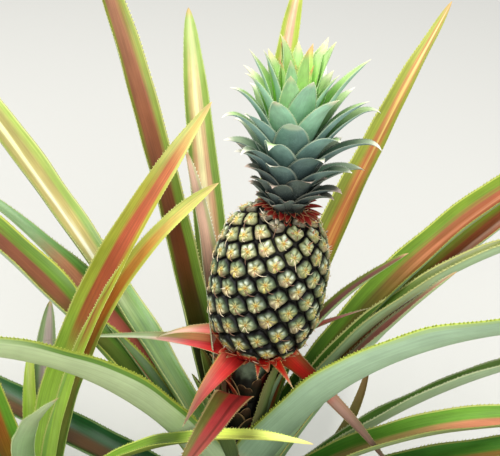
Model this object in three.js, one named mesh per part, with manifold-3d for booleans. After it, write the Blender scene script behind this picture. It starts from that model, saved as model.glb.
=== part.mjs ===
// Fruiting pineapple plant, rooted in level ground.
// Millimetres, +Z up, origin at the centre of the flat cut under the main stem,
// -Y towards the viewer, +X to the right.
//
// The plant is a short club-shaped stem with a spiral rosette of long channelled
// leaves, a leafy side shoot on a creeping stem, a stalk, red bracts, a barrel
// shaped fruit and the tuft of leaves (the crown) on top of the fruit.

import * as THREE from 'three';
import { mergeVertices } from 'three/addons/utils/BufferGeometryUtils.js';
import Module from 'manifold-3d';

const wasm = await Module();
wasm.setup();
const { Manifold, Mesh: SolidMesh } = wasm;

// ------------------------------------------------------------------ sizes
const GAP = 0.35;             // clearance left between neighbouring solids

const STEM_H = 182;           // main stem, ground to heart
const STEM_R = 30;            // main stem radius
const STEM_FLARE = 43;        // radius at the ground

const SHOOT = [-232, 55];     // where the side shoot stands
const SHOOT_R0 = 17;          // its stem radius at the main stem
const SHOOT_R1 = 14;          // and at its top
const SHOOT_TOP = 92;

const FRUIT_BASE = [19.5, 0, 303]; // fruit axis, lower end
const FRUIT_TOP = [42.5, 0, 459];  // fruit axis, upper end
const FRUIT_R = 56.5;              // largest radius
const STALK_R0 = 14;               // peduncle radius, heart to fruit
const STALK_R1 = 16;

const CROWN_BASE = [47.5, 0, 460.5];
const CROWN_TOP = [57, 0, 625];
const CROWN_LEAVES = 30;
const CROWN_TIERS = 6;
const CROWN_CORE_R = 19;
const CROWN_CORE_H = 84;

const LEAF_T = 1.5;           // half thickness of a long leaf at its middle
const GUTTER = 1.15;          // half angle of the leaf channel at its foot, rad
const GUTTER_LOSS = 0.45;     // how much of it is gone at the tip
const ROSETTE_R = 26;         // radius where the rosette leaves start
const SHOOT_LEAF_R = 10;
const BRACT_R = 20;

const RAD = Math.PI / 180;
const GOLDEN = 137.50776;

// Long leaves: azimuth, foot height, first elevation, linear bend, late bend,
// sideways sweep (all degrees), length, half width, roll at foot, added roll.
const ROSETTE = {
  leaf_01: [128.7, 155.8, 71.7, -5.6, 18.6, 11.3, 725.9, 22.8, 8, 0],
  leaf_02: [103.8, 146.9, 66.5, 23.5, 22.5, -8.8, 552.0, 21.6, 0, 0],
  leaf_03: [137.3, 176.6, 90.2, 4.5, 15.4, -1.0, 326.5, 15.4, 0, 0],
  leaf_04: [79.7, 143.2, 64.7, 37.5, 24.4, 2.5, 685.8, 18.5, 0, 0],
  leaf_05: [50.1, 147.8, 66.9, 35.1, -18.1, -8.7, 540.2, 23.0, -5, 0],
  leaf_06: [18.0, 173.0, 90.0, 84.7, -25.0, -12.9, 277.5, 14.5, -6, 0],
  leaf_07: [23.8, 140.9, 62.7, 66.2, 11.7, 0.8, 749.8, 26.6, -4, 0],
  leaf_08: [20.9, 122.4, 56.1, 31.4, 22.9, -4.6, 716.2, 23.0, -5, 0],
  leaf_09: [11.8, 151.6, 67.8, 75.7, 8.4, -6.6, 587.0, 24.3, -24, 0],
  leaf_10: [4.5, 134.0, 62.6, 17.8, 4.5, -0.6, 315.4, 17.5, -15, 0],
  leaf_11: [-29.3, 165.1, 64.6, 69.7, 2.6, 2.2, 611.7, 32.4, -36, 12],
  leaf_12: [10.6, 95.1, 43.9, 56.5, 18.3, -4.3, 658.1, 21.5, -30, 0],
  leaf_13: [-13.2, 107.9, 48.5, 73.0, 19.5, 3.5, 656.8, 22.5, -2, 0],
  leaf_14: [-19.9, 86.0, 40.4, 29.5, 16.0, -0.2, 640.1, 25.0, -5, 0],
  leaf_15: [143.4, 140.3, 54.7, 28.8, -13.3, 1.1, 677.9, 28.5, 18, -18],
  leaf_16: [145.4, 115.7, 54.8, 27.1, 57.4, 1.2, 682.3, 22.2, 5, 0],
  leaf_17: [157.8, 121.0, 53.0, 38.8, -0.8, -2.4, 777.4, 29.5, 12, 0],
  leaf_18: [207.5, 145.8, 64.9, 75.0, 19.8, 20.3, 742.6, 29.3, 38, -16],
  leaf_19: [152.2, 79.0, 8.4, -2.6, 7.5, -3.7, 692.5, 31.0, 4, 0],
  leaf_20: [-87.5, 240.0, 53.3, 68.1, -18.6, -23.0, 284.0, 20.5, -8, 0],
  // low and front leaves that fill the rosette all round
  leaf_21: [-55, 112, 50, 48, 18, 4, 640, 25, 0, 0],
  leaf_22: [-95, 96, 44, 42, 20, -5, 620, 25, 0, 0],
  leaf_23: [-133, 110, 49, 46, 20, 6, 610, 24, 0, 0],
  leaf_24: [-72, 60, 26, 20, 12, 5, 560, 25, 0, 0],
  leaf_25: [-118, 58, 22, 18, 10, -4, 570, 24, 0, 0],
  leaf_26: [-160, 60, 24, 18, 14, 5, 560, 24, 0, 0],
  leaf_27: [84, 78, 30, 30, 14, -2, 560, 24, 0, 0],
  leaf_28: [-38, 52, 18, 14, 10, 3, 580, 24, 0, 0],
};

const SHOOT_LEAVES = {
  shoot_leaf_1: [-6.5, 58.6, 86.5, 52.9, -23.5, -0.9, 541.2, 22.1, 70, -5],
  shoot_leaf_2: [-9.0, 42.8, 78.2, 6.2, 32.5, -5.0, 495.7, 19.0, 65, -5],
  shoot_leaf_3: [79.4, 58.4, 71.0, 8.4, -1.8, 0.6, 227.1, 20.0, 0, 0],
  shoot_leaf_4: [150.8, 39.1, 66.0, -16.0, -6.0, -4.0, 290.0, 24.0, 0, 0],
  shoot_leaf_5: [100.9, 67.4, 78.2, 13.5, 13.9, -12.7, 168.0, 10.5, 0, 0],
  shoot_leaf_6: [-87.3, 50.7, 65.6, 36.6, -15.2, 33.0, 416.2, 14.4, 0, 0],
  shoot_leaf_7: [-32.1, 52.1, 52.3, 29.4, 10.1, -0.3, 428.9, 15.6, 0, 0],
  shoot_leaf_8: [205, 40, 48, 34, 16, 4, 380, 18, 0, 0],
  shoot_leaf_9: [-125, 36, 62, 34, 14, -4, 360, 17, 0, 0],
};

const BRACTS = {
  bract_1: [-139.7, 308.0, -21.7, 24.9, 2.1, -1.3, 98.0, 20.0, -8, 30],
  bract_2: [160.7, 312.0, 5.6, 32.5, 7.8, 2.0, 100.9, 11.0, -26, 10],
  bract_3: [161.1, 297.2, 1.6, 27.0, -5.3, -1.1, 237.6, 19.5, -34, 12],
  bract_4: [-96.0, 305.0, -22, 28.7, 4.8, 3.9, 24.0, 5.2, 0, 0],
  bract_5: [-64.2, 304.4, 5.4, 25.1, 4.3, 0.7, 50.4, 7.4, 10, 20],
  bract_6: [-18.5, 301.4, -36.1, 17.0, -4.6, -3.8, 171.2, 13.5, 24, -10],
  bract_7: [19.6, 304.4, 16.5, 8.3, 3.6, 0.1, 108.7, 7.4, 0, 0],
  bract_8: [75, 305, 4, 30, 6, 2, 92, 8.5, 0, 0],
  bract_9: [118, 305, -6, 28, 6, -3, 84, 8.5, 0, 0],
};

// ---------------------------------------------------------------- materials
const finish = (colour, roughness) =>
  new THREE.MeshStandardMaterial({ color: colour, roughness, metalness: 0 });
const MAT = {
  leaf: finish(0x6f9440, 0.5),
  shoot: finish(0x9bab3c, 0.5),
  bract: finish(0xc8483c, 0.5),
  fruit: finish(0x8f9a70, 0.6),
  crown: finish(0x6d9a80, 0.55),
  crownHeart: finish(0x9cc862, 0.5),
  stem: finish(0x6b5a3e, 0.85),
  stalk: finish(0x7d8a4a, 0.7),
};

// ------------------------------------------------------------ solid helpers
// The solid of a closed geometry. With grow, every corner is first moved out
// along its own normal, which gives the clearance copy of the same shape.
function toSolid(geometry, grow = 0) {
  const g = geometry.clone();
  g.deleteAttribute('normal');
  g.deleteAttribute('uv');
  const m = mergeVertices(g, 1e-4);
  const p = m.attributes.position;
  if (grow > 0) {
    m.computeVertexNormals();
    const n = m.attributes.normal;
    for (let i = 0; i < p.count; i++) {
      p.setXYZ(i, p.getX(i) + 1.3 * grow * n.getX(i), p.getY(i) + 1.3 * grow * n.getY(i),
        p.getZ(i) + 1.3 * grow * n.getZ(i));
    }
  }
  const tri = Array.from(m.index.array);
  const keep = [];
  for (let i = 0; i < tri.length; i += 3) {
    const [a, b, c] = [tri[i], tri[i + 1], tri[i + 2]];
    if (a !== b && b !== c && c !== a) keep.push(a, b, c);
  }
  return new Manifold(new SolidMesh({
    numProp: 3,
    vertProperties: Float32Array.from(p.array),
    triVerts: Uint32Array.from(keep),
  }));
}

function toGeometry(solid) {
  const mesh = solid.getMesh();
  const g = new THREE.BufferGeometry();
  g.setAttribute('position', new THREE.BufferAttribute(Float32Array.from(mesh.vertProperties), 3));
  g.setIndex(new THREE.BufferAttribute(Uint32Array.from(mesh.triVerts), 1));
  g.computeVertexNormals();
  return g;
}

const largest = (solid) => {
  const bodies = solid.decompose();
  bodies.sort((a, b) => b.volume() - a.volume());
  return bodies[0];
};

// A closed tube-like grid whose every point is placed by place(x, y, u):
// x, y on the unit circle (or inside it on the end caps), u from 0 to 1.
function lofted(sides, steps, place) {
  const g = new THREE.CylinderGeometry(1, 1, 1, sides, steps);
  const p = g.attributes.position;
  const v = new THREE.Vector3();
  for (let i = 0; i < p.count; i++) {
    place(p.getX(i), p.getZ(i), p.getY(i) + 0.5, v);
    p.setXYZ(i, v.x, v.y, v.z);
  }
  return g;
}

// ------------------------------------------------------------------- leaves
const width = (u) => Math.pow(1 - u ** 3, 0.65) * (0.82 + 0.18 * Math.min(1, u / 0.2));
const foot = (u) => 0.35 + 0.65 * Math.min(1, u / 0.13);
const swordOutline = (u) => width(u) * foot(u);
const bractOutline = (u) => Math.pow(1 - u, 1.12) * (1 + 0.25 * u);

// Blades that are not plain swords: one narrows to a strip half way, one is a
// short flat wedge, and three bracts taper in their own way.
const OUTLINES = {
  leaf_16: (u) => swordOutline(u) * (1 - 0.52 * THREE.MathUtils.smoothstep(u, 0.36, 0.56)),
  leaf_20: (u) => Math.pow(1 - u, 0.45) * (0.45 + 0.55 * THREE.MathUtils.smoothstep(u, 0.04, 0.34)),
  bract_1: (u) => Math.pow(1 - u, 0.95) * (1 + 0.25 * u),
  bract_3: (u) => 0.88 * Math.pow(1 - u, 3) + 0.12 * Math.pow(1 - u, 0.6),
  bract_6: (u) => Math.pow(1 - u, 0.62) * (1 - 0.25 * u),
};

// Frames along a leaf: it leaves the stem at an azimuth and an elevation and
// bends down and sideways as it goes.
function leafFrames(row, origin, start, steps) {
  const [azimuth, height, elev, bend, late, sweep, length] = row;
  const roll0 = row[8], roll1 = row[9];
  const n = 40 * steps;
  const pos = new THREE.Vector3(
    origin[0] + start * Math.cos(azimuth * RAD),
    origin[1] + start * Math.sin(azimuth * RAD), height);
  const frames = [];
  for (let i = 0; i <= n; i++) {
    const u = i / n;
    const a = (elev - bend * u - late * u * u) * RAD;
    const b = (azimuth + sweep * u) * RAD;
    const t = new THREE.Vector3(Math.cos(a) * Math.cos(b), Math.cos(a) * Math.sin(b), Math.sin(a));
    const s = new THREE.Vector3(-Math.sin(b), Math.cos(b), 0);
    const up = new THREE.Vector3().crossVectors(t, s);
    const r = (roll0 + roll1 * u) * RAD;
    const side = s.clone().multiplyScalar(Math.cos(r)).addScaledVector(up, Math.sin(r));
    const face = up.clone().multiplyScalar(Math.cos(r)).addScaledVector(s, -Math.sin(r));
    if (i > 0) pos.addScaledVector(t, length / n);
    if (i % 40 === 0) frames.push({ u, p: pos.clone(), t, side, face });
  }
  return frames;
}

// The lens-shaped section of a leaf, bent into its channel; with grow, every
// side of it is moved out by that much.
function leafSection(sides, w, h, c, grow) {
  const ring = [];
  for (let j = 0; j < sides; j++) {
    const t = -Math.sin(2 * Math.PI * j / sides), y = Math.cos(2 * Math.PI * j / sides);
    ring.push(new THREE.Vector2(
      (w / c) * Math.sin(c * t) - Math.sin(c * t) * h * y,
      (w / c) * (1 - Math.cos(c * t)) + Math.cos(c * t) * h * y));
  }
  if (!grow) return ring;
  const side = ring.map((q, j) => {
    const d = ring[(j + 1) % sides].clone().sub(q).normalize();
    return new THREE.Vector2(-d.y, d.x);
  });
  const turn = ring.reduce((s, q, j) => s + q.cross(ring[(j + 1) % sides]), 0);
  if (turn > 0) side.forEach((n) => n.negate());
  return ring.map((q, j) => {
    const a = side[(j + sides - 1) % sides], b = side[j];
    const m = a.clone().add(b);
    const k = grow / Math.max(0.08, 1 + a.dot(b));
    return q.clone().addScaledVector(m, k);
  });
}

function blade(row, origin, start, {
  steps = 7, sides = 8, grow = 0, thick = LEAF_T, gutter = GUTTER, loss = GUTTER_LOSS, outline = swordOutline,
} = {}) {
  const frames = leafFrames(row, origin, start, steps);
  const rings = frames.map((f) => leafSection(
    sides, Math.max(0.9, row[7] * outline(f.u)), thick * (1 - 0.6 * f.u), gutter - loss * f.u, grow));
  return lofted(sides, steps, (x, y, u, out) => {
    const i = Math.round(u * steps);
    const f = frames[i];
    out.copy(f.p).addScaledVector(f.t, i === 0 ? -grow : i === steps ? grow : 0);
    if (x * x + y * y < 0.5) return;
    const j = (Math.round(Math.atan2(x, y) / (2 * Math.PI) * sides) + sides) % sides;
    out.addScaledVector(f.side, rings[i][j].x).addScaledVector(f.face, rings[i][j].y);
  });
}

// -------------------------------------------------------------------- limbs
function limb(points, radii, sides, steps) {
  const curve = new THREE.CatmullRomCurve3(points.map((q) => new THREE.Vector3(...q)));
  const r = (u) => THREE.MathUtils.lerp(radii[0], radii[1], u);
  const x = new THREE.Vector3(), y = new THREE.Vector3();
  return lofted(sides, steps, (cx, cy, u, out) => {
    const t = curve.getTangentAt(u);
    x.set(-t.y, t.x, 0);
    if (x.lengthSq() < 1e-6) x.set(0, 1, 0);
    x.normalize();
    y.crossVectors(x, t);
    out.copy(curve.getPointAt(u)).addScaledVector(x, cx * r(u)).addScaledVector(y, cy * r(u));
  });
}

// A turned solid about an axis from a to b, from a profile of [radius, along].
function turned(a, b, profile, sides) {
  const A = new THREE.Vector3(...a), B = new THREE.Vector3(...b);
  const axis = B.clone().sub(A).normalize();
  const g = new THREE.LatheGeometry(profile.map(([r, h]) => new THREE.Vector2(r, h)), sides);
  g.rotateX(Math.PI / 2);
  g.applyQuaternion(new THREE.Quaternion().setFromUnitVectors(new THREE.Vector3(0, 0, 1), axis));
  g.translate(...a);
  return g;
}

// ------------------------------------------------------------- main pieces
const stem = () => turned([0, 0, 0], [0, 0, STEM_H], [
  [0, 0], [STEM_FLARE, 0], [STEM_FLARE - 3, 6], [STEM_R + 4, 22], [STEM_R, 60],
  [STEM_R - 1, 120], [STEM_R - 6, 165], [STALK_R0 + 3, STEM_H], [0, STEM_H],
], 16);

const stalk = () => limb(
  [[0, 0, STEM_H + GAP], [3, 0, 222], [10, 0, 262], [18.8, 0, 302.2]],
  [STALK_R0, STALK_R1], 10, 4);

const fruitLength = new THREE.Vector3(...FRUIT_TOP).distanceTo(new THREE.Vector3(...FRUIT_BASE));
const FRUIT_PROFILE = [
  [0, 0], [0.36, 0], [0.62, 0.045], [0.85, 0.15], [0.975, 0.31], [1, 0.49],
  [0.98, 0.66], [0.875, 0.82], [0.69, 0.93], [0.40, 1], [0, 1],
];
const fruit = () => turned(FRUIT_BASE, FRUIT_TOP,
  FRUIT_PROFILE.map(([r, h]) => [r * FRUIT_R, h * fruitLength]), 20);

const shootStem = () => limb([
  [-38, 9, 24], [-90, 21, 21], [-150, 35, 22], [-198, 47, 30], [-226, 54, 56], [...SHOOT, SHOOT_TOP],
], [SHOOT_R0, SHOOT_R1], 10, 7);

// -------------------------------------------------------------------- crown
// Leaf n of the crown counts upwards; low ones are short, wide and spreading,
// high ones long and upright.
const crownAxis = new THREE.Vector3(...CROWN_TOP).sub(new THREE.Vector3(...CROWN_BASE)).normalize();
function crownLeaf(k) {
  const along = 6 + (CROWN_CORE_H - 8) * k;
  const elev = 30 + 57 * Math.pow(k, 0.75);
  const bend = 46 * (1 - k);
  const length = 112 - 64 * Math.pow(1 - k, 3.2) - 22 * k * k;
  const half = 10.5 + 5.0 * Math.sin(Math.PI * Math.min(1, 0.12 + 0.8 * k));
  const start = CROWN_CORE_R * (1 - 0.68 * k) - 2.5;
  return { along, elev, bend, length, half, start };
}
function crownTier(tier, grow = 0) {
  const turn = new THREE.Quaternion().setFromUnitVectors(new THREE.Vector3(0, 0, 1), crownAxis);
  const parts = [];
  for (let n = 0; n < CROWN_LEAVES; n++) {
    const c = crownLeaf(n / (CROWN_LEAVES - 1));
    if (Math.floor((c.along / CROWN_CORE_H) * CROWN_TIERS) !== tier) continue;
    const row = [n * GOLDEN % 360, c.along, c.elev, c.bend * 0.4, c.bend * 0.6, 0, c.length, c.half, 0, 0];
    const g = blade(row, [0, 0], c.start, { steps: tier < 4 ? 3 : 2, sides: 4, grow, thick: 1.6, gutter: 0.9 });
    g.applyQuaternion(turn);
    g.translate(...CROWN_BASE);
    parts.push(toSolid(g));
  }
  const lo = tier === 0 ? 0.6 : (CROWN_CORE_H * tier) / CROWN_TIERS + GAP / 2;
  const hi = (CROWN_CORE_H * (tier + 1)) / CROWN_TIERS - GAP / 2;
  const r = (h) => CROWN_CORE_R * (1 - 0.68 * h / CROWN_CORE_H);
  const up = (h) => new THREE.Vector3(...CROWN_BASE).addScaledVector(crownAxis, h).toArray();
  const core = turned(up(0), up(1), [[0, lo], [r(lo), lo], [r(hi), hi], [0, hi]], 10);
  return parts.reduce((a, b) => a.add(b), toSolid(core, grow));
}

// ----------------------------------------------------------------- assembly
// Each solid gives way to the ones before it, so neighbours never overlap.
const placed = [];
const overlapBox = (a, b) => {
  const p = a.boundingBox(), q = b.boundingBox();
  return [0, 1, 2].every((i) => p.min[i] <= q.max[i] && q.min[i] <= p.max[i]);
};
function place(name, material, make) {
  let solid = largest(make(0));
  for (const other of placed) {
    if (!overlapBox(solid, other.grown)) continue;
    if (solid.intersect(other.grown).volume() < 1e-3) continue;
    solid = largest(solid.subtract(other.grown));
  }
  placed.push({ name, material, solid, grown: make(GAP).add(solid) });
}

place('stem', MAT.stem, (g) => toSolid(stem(), g));
place('peduncle', MAT.stalk, (g) => toSolid(stalk(), g));
place('fruit', MAT.fruit, (g) => toSolid(fruit(), g));
place('shoot_stem', MAT.stem, (g) => toSolid(shootStem(), g));
for (let t = 0; t < CROWN_TIERS; t++) {
  place(`crown_tier_${t + 1}`, t < 4 ? MAT.crown : MAT.crownHeart, (g) => crownTier(t, g));
}
// blades low down or on the far side, which get fewer sides
const HIDDEN = new Set(['leaf_21', 'leaf_22', 'leaf_23', 'leaf_24', 'leaf_25', 'leaf_26', 'leaf_27', 'leaf_28',
  'shoot_leaf_3', 'shoot_leaf_5', 'shoot_leaf_8', 'shoot_leaf_9']);
const bractOrigin = [24, 0];
for (const [name, row] of Object.entries(BRACTS)) {
  place(name, MAT.bract, (g) => toSolid(blade(row, bractOrigin, BRACT_R,
    { steps: row[6] > 150 ? 5 : 3, sides: 6, grow: g, thick: 1.1, gutter: 0.95, loss: 0.2, outline: OUTLINES[name] ?? bractOutline })));
}
for (const [name, row] of Object.entries(ROSETTE)) {
  const red = name === 'leaf_20';
  const bend = red ? { gutter: 0.14, loss: -0.3, thick: 1.0 } : {};
  place(name, red ? MAT.bract : MAT.leaf, (g) => toSolid(blade(row, [0, 0], red ? STALK_R0 - 1 : ROSETTE_R,
    { steps: row[6] > 700 ? 7 : 6, sides: HIDDEN.has(name) ? 6 : 8, grow: g, outline: OUTLINES[name] ?? swordOutline, ...bend })));
}
for (const [name, row] of Object.entries(SHOOT_LEAVES)) {
  place(name, MAT.shoot, (g) => toSolid(blade(row, SHOOT, SHOOT_LEAF_R,
    { steps: row[6] > 450 ? 7 : row[6] > 300 ? 6 : 4, sides: HIDDEN.has(name) ? 6 : 8, grow: g })));
}

const plant = new THREE.Group();
for (const { name, material, solid } of placed) {
  const mesh = new THREE.Mesh(toGeometry(solid), material);
  mesh.name = name;
  plant.add(mesh);
}

export default plant;
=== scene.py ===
# Looks of a fruiting pineapple plant: every leaf, bract, eye and stem as its own
# modelled surface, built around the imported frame. Metres, +Z up.
import math

import bpy
import numpy as np
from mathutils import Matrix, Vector


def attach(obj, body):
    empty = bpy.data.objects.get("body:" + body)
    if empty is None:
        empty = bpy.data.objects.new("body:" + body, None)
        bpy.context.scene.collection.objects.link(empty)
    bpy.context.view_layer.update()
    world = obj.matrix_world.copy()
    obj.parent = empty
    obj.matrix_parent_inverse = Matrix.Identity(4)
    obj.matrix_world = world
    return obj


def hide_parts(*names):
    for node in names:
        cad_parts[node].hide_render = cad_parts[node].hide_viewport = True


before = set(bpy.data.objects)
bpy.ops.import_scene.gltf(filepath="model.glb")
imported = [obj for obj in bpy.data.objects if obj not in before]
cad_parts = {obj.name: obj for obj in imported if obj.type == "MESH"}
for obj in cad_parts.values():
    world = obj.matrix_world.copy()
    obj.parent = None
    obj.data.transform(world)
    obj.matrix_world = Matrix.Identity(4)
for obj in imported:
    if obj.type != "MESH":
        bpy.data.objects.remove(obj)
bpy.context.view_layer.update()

MM = 0.001
GOLDEN = 137.50776

# ------------------------------------------------------------------ camera
cam_data = bpy.data.cameras.new("camera")
cam_data.sensor_fit = "HORIZONTAL"
cam_data.sensor_width = 36.0
cam_data.lens = 79.2
cam_data.clip_start = 0.02
cam_data.clip_end = 60.0
cam = bpy.data.objects.new("camera", cam_data)
bpy.context.scene.collection.objects.link(cam)
cam.location = (0.0132, -0.928, 0.9157)
cam.rotation_euler = (math.radians(90 - 27.24), 0.0, 0.0)
bpy.context.scene.camera = cam
bpy.context.scene.view_settings.view_transform = "Standard"


# ------------------------------------------------------------- small helpers
def lin(rgb):
    """Linear colour of an 8-bit sRGB triple."""
    c = np.asarray(rgb, float) / 255.0
    c = np.where(c <= 0.04045, c / 12.92, ((c + 0.055) / 1.055) ** 2.4)
    return (float(c[0]), float(c[1]), float(c[2]), 1.0)


def smooth(x, lo, hi):
    t = np.clip((x - lo) / (hi - lo), 0, 1)
    return t * t * (3 - 2 * t)


class Build:
    """Collects grids and small solids into one mesh with its maps and attributes."""

    def __init__(self, names=("across", "along", "under")):
        self.v, self.f3, self.f4, self.uv3, self.uv4 = [], [], [], [], []
        self.names = names
        self.a = {k: [] for k in names}
        self.count = 0

    def verts(self, p, **attrs):
        p = np.asarray(p, float).reshape(-1, 3)
        first = self.count
        self.v.append(p)
        for k in self.names:
            value = attrs.get(k, 0.0)
            self.a[k].append(np.broadcast_to(np.asarray(value, float).ravel(), (len(p),)) if np.size(value) in (1, len(p)) else np.asarray(value, float).ravel())
        self.count += len(p)
        return first

    def quads(self, idx, uv):
        self.f4.append(np.asarray(idx, np.int64).reshape(-1, 4))
        self.uv4.append(np.asarray(uv, float).reshape(-1, 2))

    def tris(self, idx, uv):
        self.f3.append(np.asarray(idx, np.int64).reshape(-1, 3))
        self.uv3.append(np.asarray(uv, float).reshape(-1, 2))

    def object(self, name, material, flat=False, colours=None):
        v = np.concatenate(self.v)
        f4 = np.concatenate(self.f4) if self.f4 else np.zeros((0, 4), np.int64)
        f3 = np.concatenate(self.f3) if self.f3 else np.zeros((0, 3), np.int64)
        uv = np.concatenate(self.uv4 + self.uv3)
        loops = np.concatenate([f4.ravel(), f3.ravel()]).astype(np.int32)
        start = np.concatenate([4 * np.arange(len(f4)), 4 * len(f4) + 3 * np.arange(len(f3))]).astype(np.int32)
        total = np.concatenate([np.full(len(f4), 4), np.full(len(f3), 3)]).astype(np.int32)
        me = bpy.data.meshes.new(name)
        me.vertices.add(len(v))
        me.vertices.foreach_set("co", (v * MM).astype(np.float32).ravel())
        me.loops.add(len(loops))
        me.loops.foreach_set("vertex_index", loops)
        me.polygons.add(len(start))
        me.polygons.foreach_set("loop_start", start)
        me.polygons.foreach_set("loop_total", total)
        me.update(calc_edges=True)
        layer = me.uv_layers.new(name="OFBake")
        layer.data.foreach_set("uv", uv.astype(np.float32).ravel())
        for k in self.names:
            at = me.attributes.new(k, "FLOAT", "POINT")
            at.data.foreach_set("value", np.concatenate(self.a[k]).astype(np.float32))
        if colours is not None:
            at = me.attributes.new("tint", "FLOAT_COLOR", "POINT")
            at.data.foreach_set("color", np.concatenate(colours).astype(np.float32).ravel())
        me.polygons.foreach_set("use_smooth", np.full(len(start), not flat))
        me.validate()
        me.materials.append(material)
        ob = bpy.data.objects.new(name, me)
        bpy.context.scene.collection.objects.link(ob)
        return ob


def finish_piece(ob, slot, *nodes):
    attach(ob, "root")
    if nodes:
        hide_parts(*nodes)
    return ob


# ------------------------------------------------------------ material helpers
class Mat:
    def __init__(self, name, specular=0.5, sheen=0.0, coat=0.0, coat_roughness=0.2, subsurface=0.0):
        self.m = bpy.data.materials.new(name)
        self.m.use_nodes = True
        self.t = self.m.node_tree
        self.t.nodes.clear()
        self.out = self.t.nodes.new("ShaderNodeOutputMaterial")
        self.b = self.t.nodes.new("ShaderNodeBsdfPrincipled")
        self.t.links.new(self.b.outputs[0], self.out.inputs[0])
        self.b.inputs["Specular IOR Level"].default_value = specular
        self.b.inputs["Coat Weight"].default_value = coat
        self.b.inputs["Coat Roughness"].default_value = coat_roughness
        self.b.inputs["Sheen Weight"].default_value = sheen

    def put(self, sock, v):
        if isinstance(v, bpy.types.NodeSocket):
            self.t.links.new(v, sock)
        elif hasattr(v, "__len__") and len(v) == 3 and sock.type == "RGBA":
            sock.default_value = (*v, 1.0)
        else:
            sock.default_value = v

    def attr(self, name, colour=False):
        n = self.t.nodes.new("ShaderNodeAttribute")
        n.attribute_name = name
        return n.outputs["Color" if colour else "Fac"]

    def math(self, op, a, b=0.0, clamp=False):
        n = self.t.nodes.new("ShaderNodeMath")
        n.operation = op
        n.use_clamp = clamp
        self.put(n.inputs[0], a)
        self.put(n.inputs[1], b)
        return n.outputs[0]

    def smooth(self, x, lo, hi, a=0.0, b=1.0):
        n = self.t.nodes.new("ShaderNodeMapRange")
        n.interpolation_type = "SMOOTHSTEP"
        for i, v in enumerate((x, lo, hi, a, b)):
            self.put(n.inputs[i], v)
        return n.outputs[0]

    def mix(self, fac, a, b, mode="MIX"):
        n = self.t.nodes.new("ShaderNodeMix")
        n.data_type = "RGBA"
        n.blend_type = mode
        n.clamp_factor = True
        self.put(n.inputs[0], fac)
        self.put(n.inputs[6], a)
        self.put(n.inputs[7], b)
        return n.outputs[2]

    def ramp(self, fac, stops):
        n = self.t.nodes.new("ShaderNodeValToRGB")
        n.color_ramp.interpolation = "EASE"
        e = n.color_ramp.elements
        while len(e) < len(stops):
            e.new(0.5)
        for i, (p, c) in enumerate(stops):
            e[i].position = p
            e[i].color = c
        self.put(n.inputs[0], fac)
        return n.outputs[0]

    def xyz(self, x, y, z=0.0):
        n = self.t.nodes.new("ShaderNodeCombineXYZ")
        for i, v in enumerate((x, y, z)):
            self.put(n.inputs[i], v)
        return n.outputs[0]

    def noise(self, vec, scale=1.0, detail=2.0, rough=0.5):
        n = self.t.nodes.new("ShaderNodeTexNoise")
        self.put(n.inputs["Vector"], vec)
        n.inputs["Scale"].default_value = scale
        n.inputs["Detail"].default_value = detail
        n.inputs["Roughness"].default_value = rough
        return n.outputs[0]

    def coords(self):
        n = self.t.nodes.new("ShaderNodeTexCoord")
        return n.outputs["Object"]

    def scale(self, colour, k):
        """colour times a factor."""
        n = self.t.nodes.new("ShaderNodeVectorMath")
        n.operation = "SCALE"
        self.put(n.inputs[0], colour)
        self.put(n.inputs[3], k)
        return n.outputs[0]

    def bump(self, height, strength=0.3, distance=0.001):
        n = self.t.nodes.new("ShaderNodeBump")
        n.inputs["Strength"].default_value = strength
        n.inputs["Distance"].default_value = distance
        self.put(n.inputs["Height"], height)
        self.t.links.new(n.outputs[0], self.b.inputs["Normal"])

    def colour(self, c):
        self.put(self.b.inputs["Base Color"], c)

    def rough(self, r):
        self.put(self.b.inputs["Roughness"], r)


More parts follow.
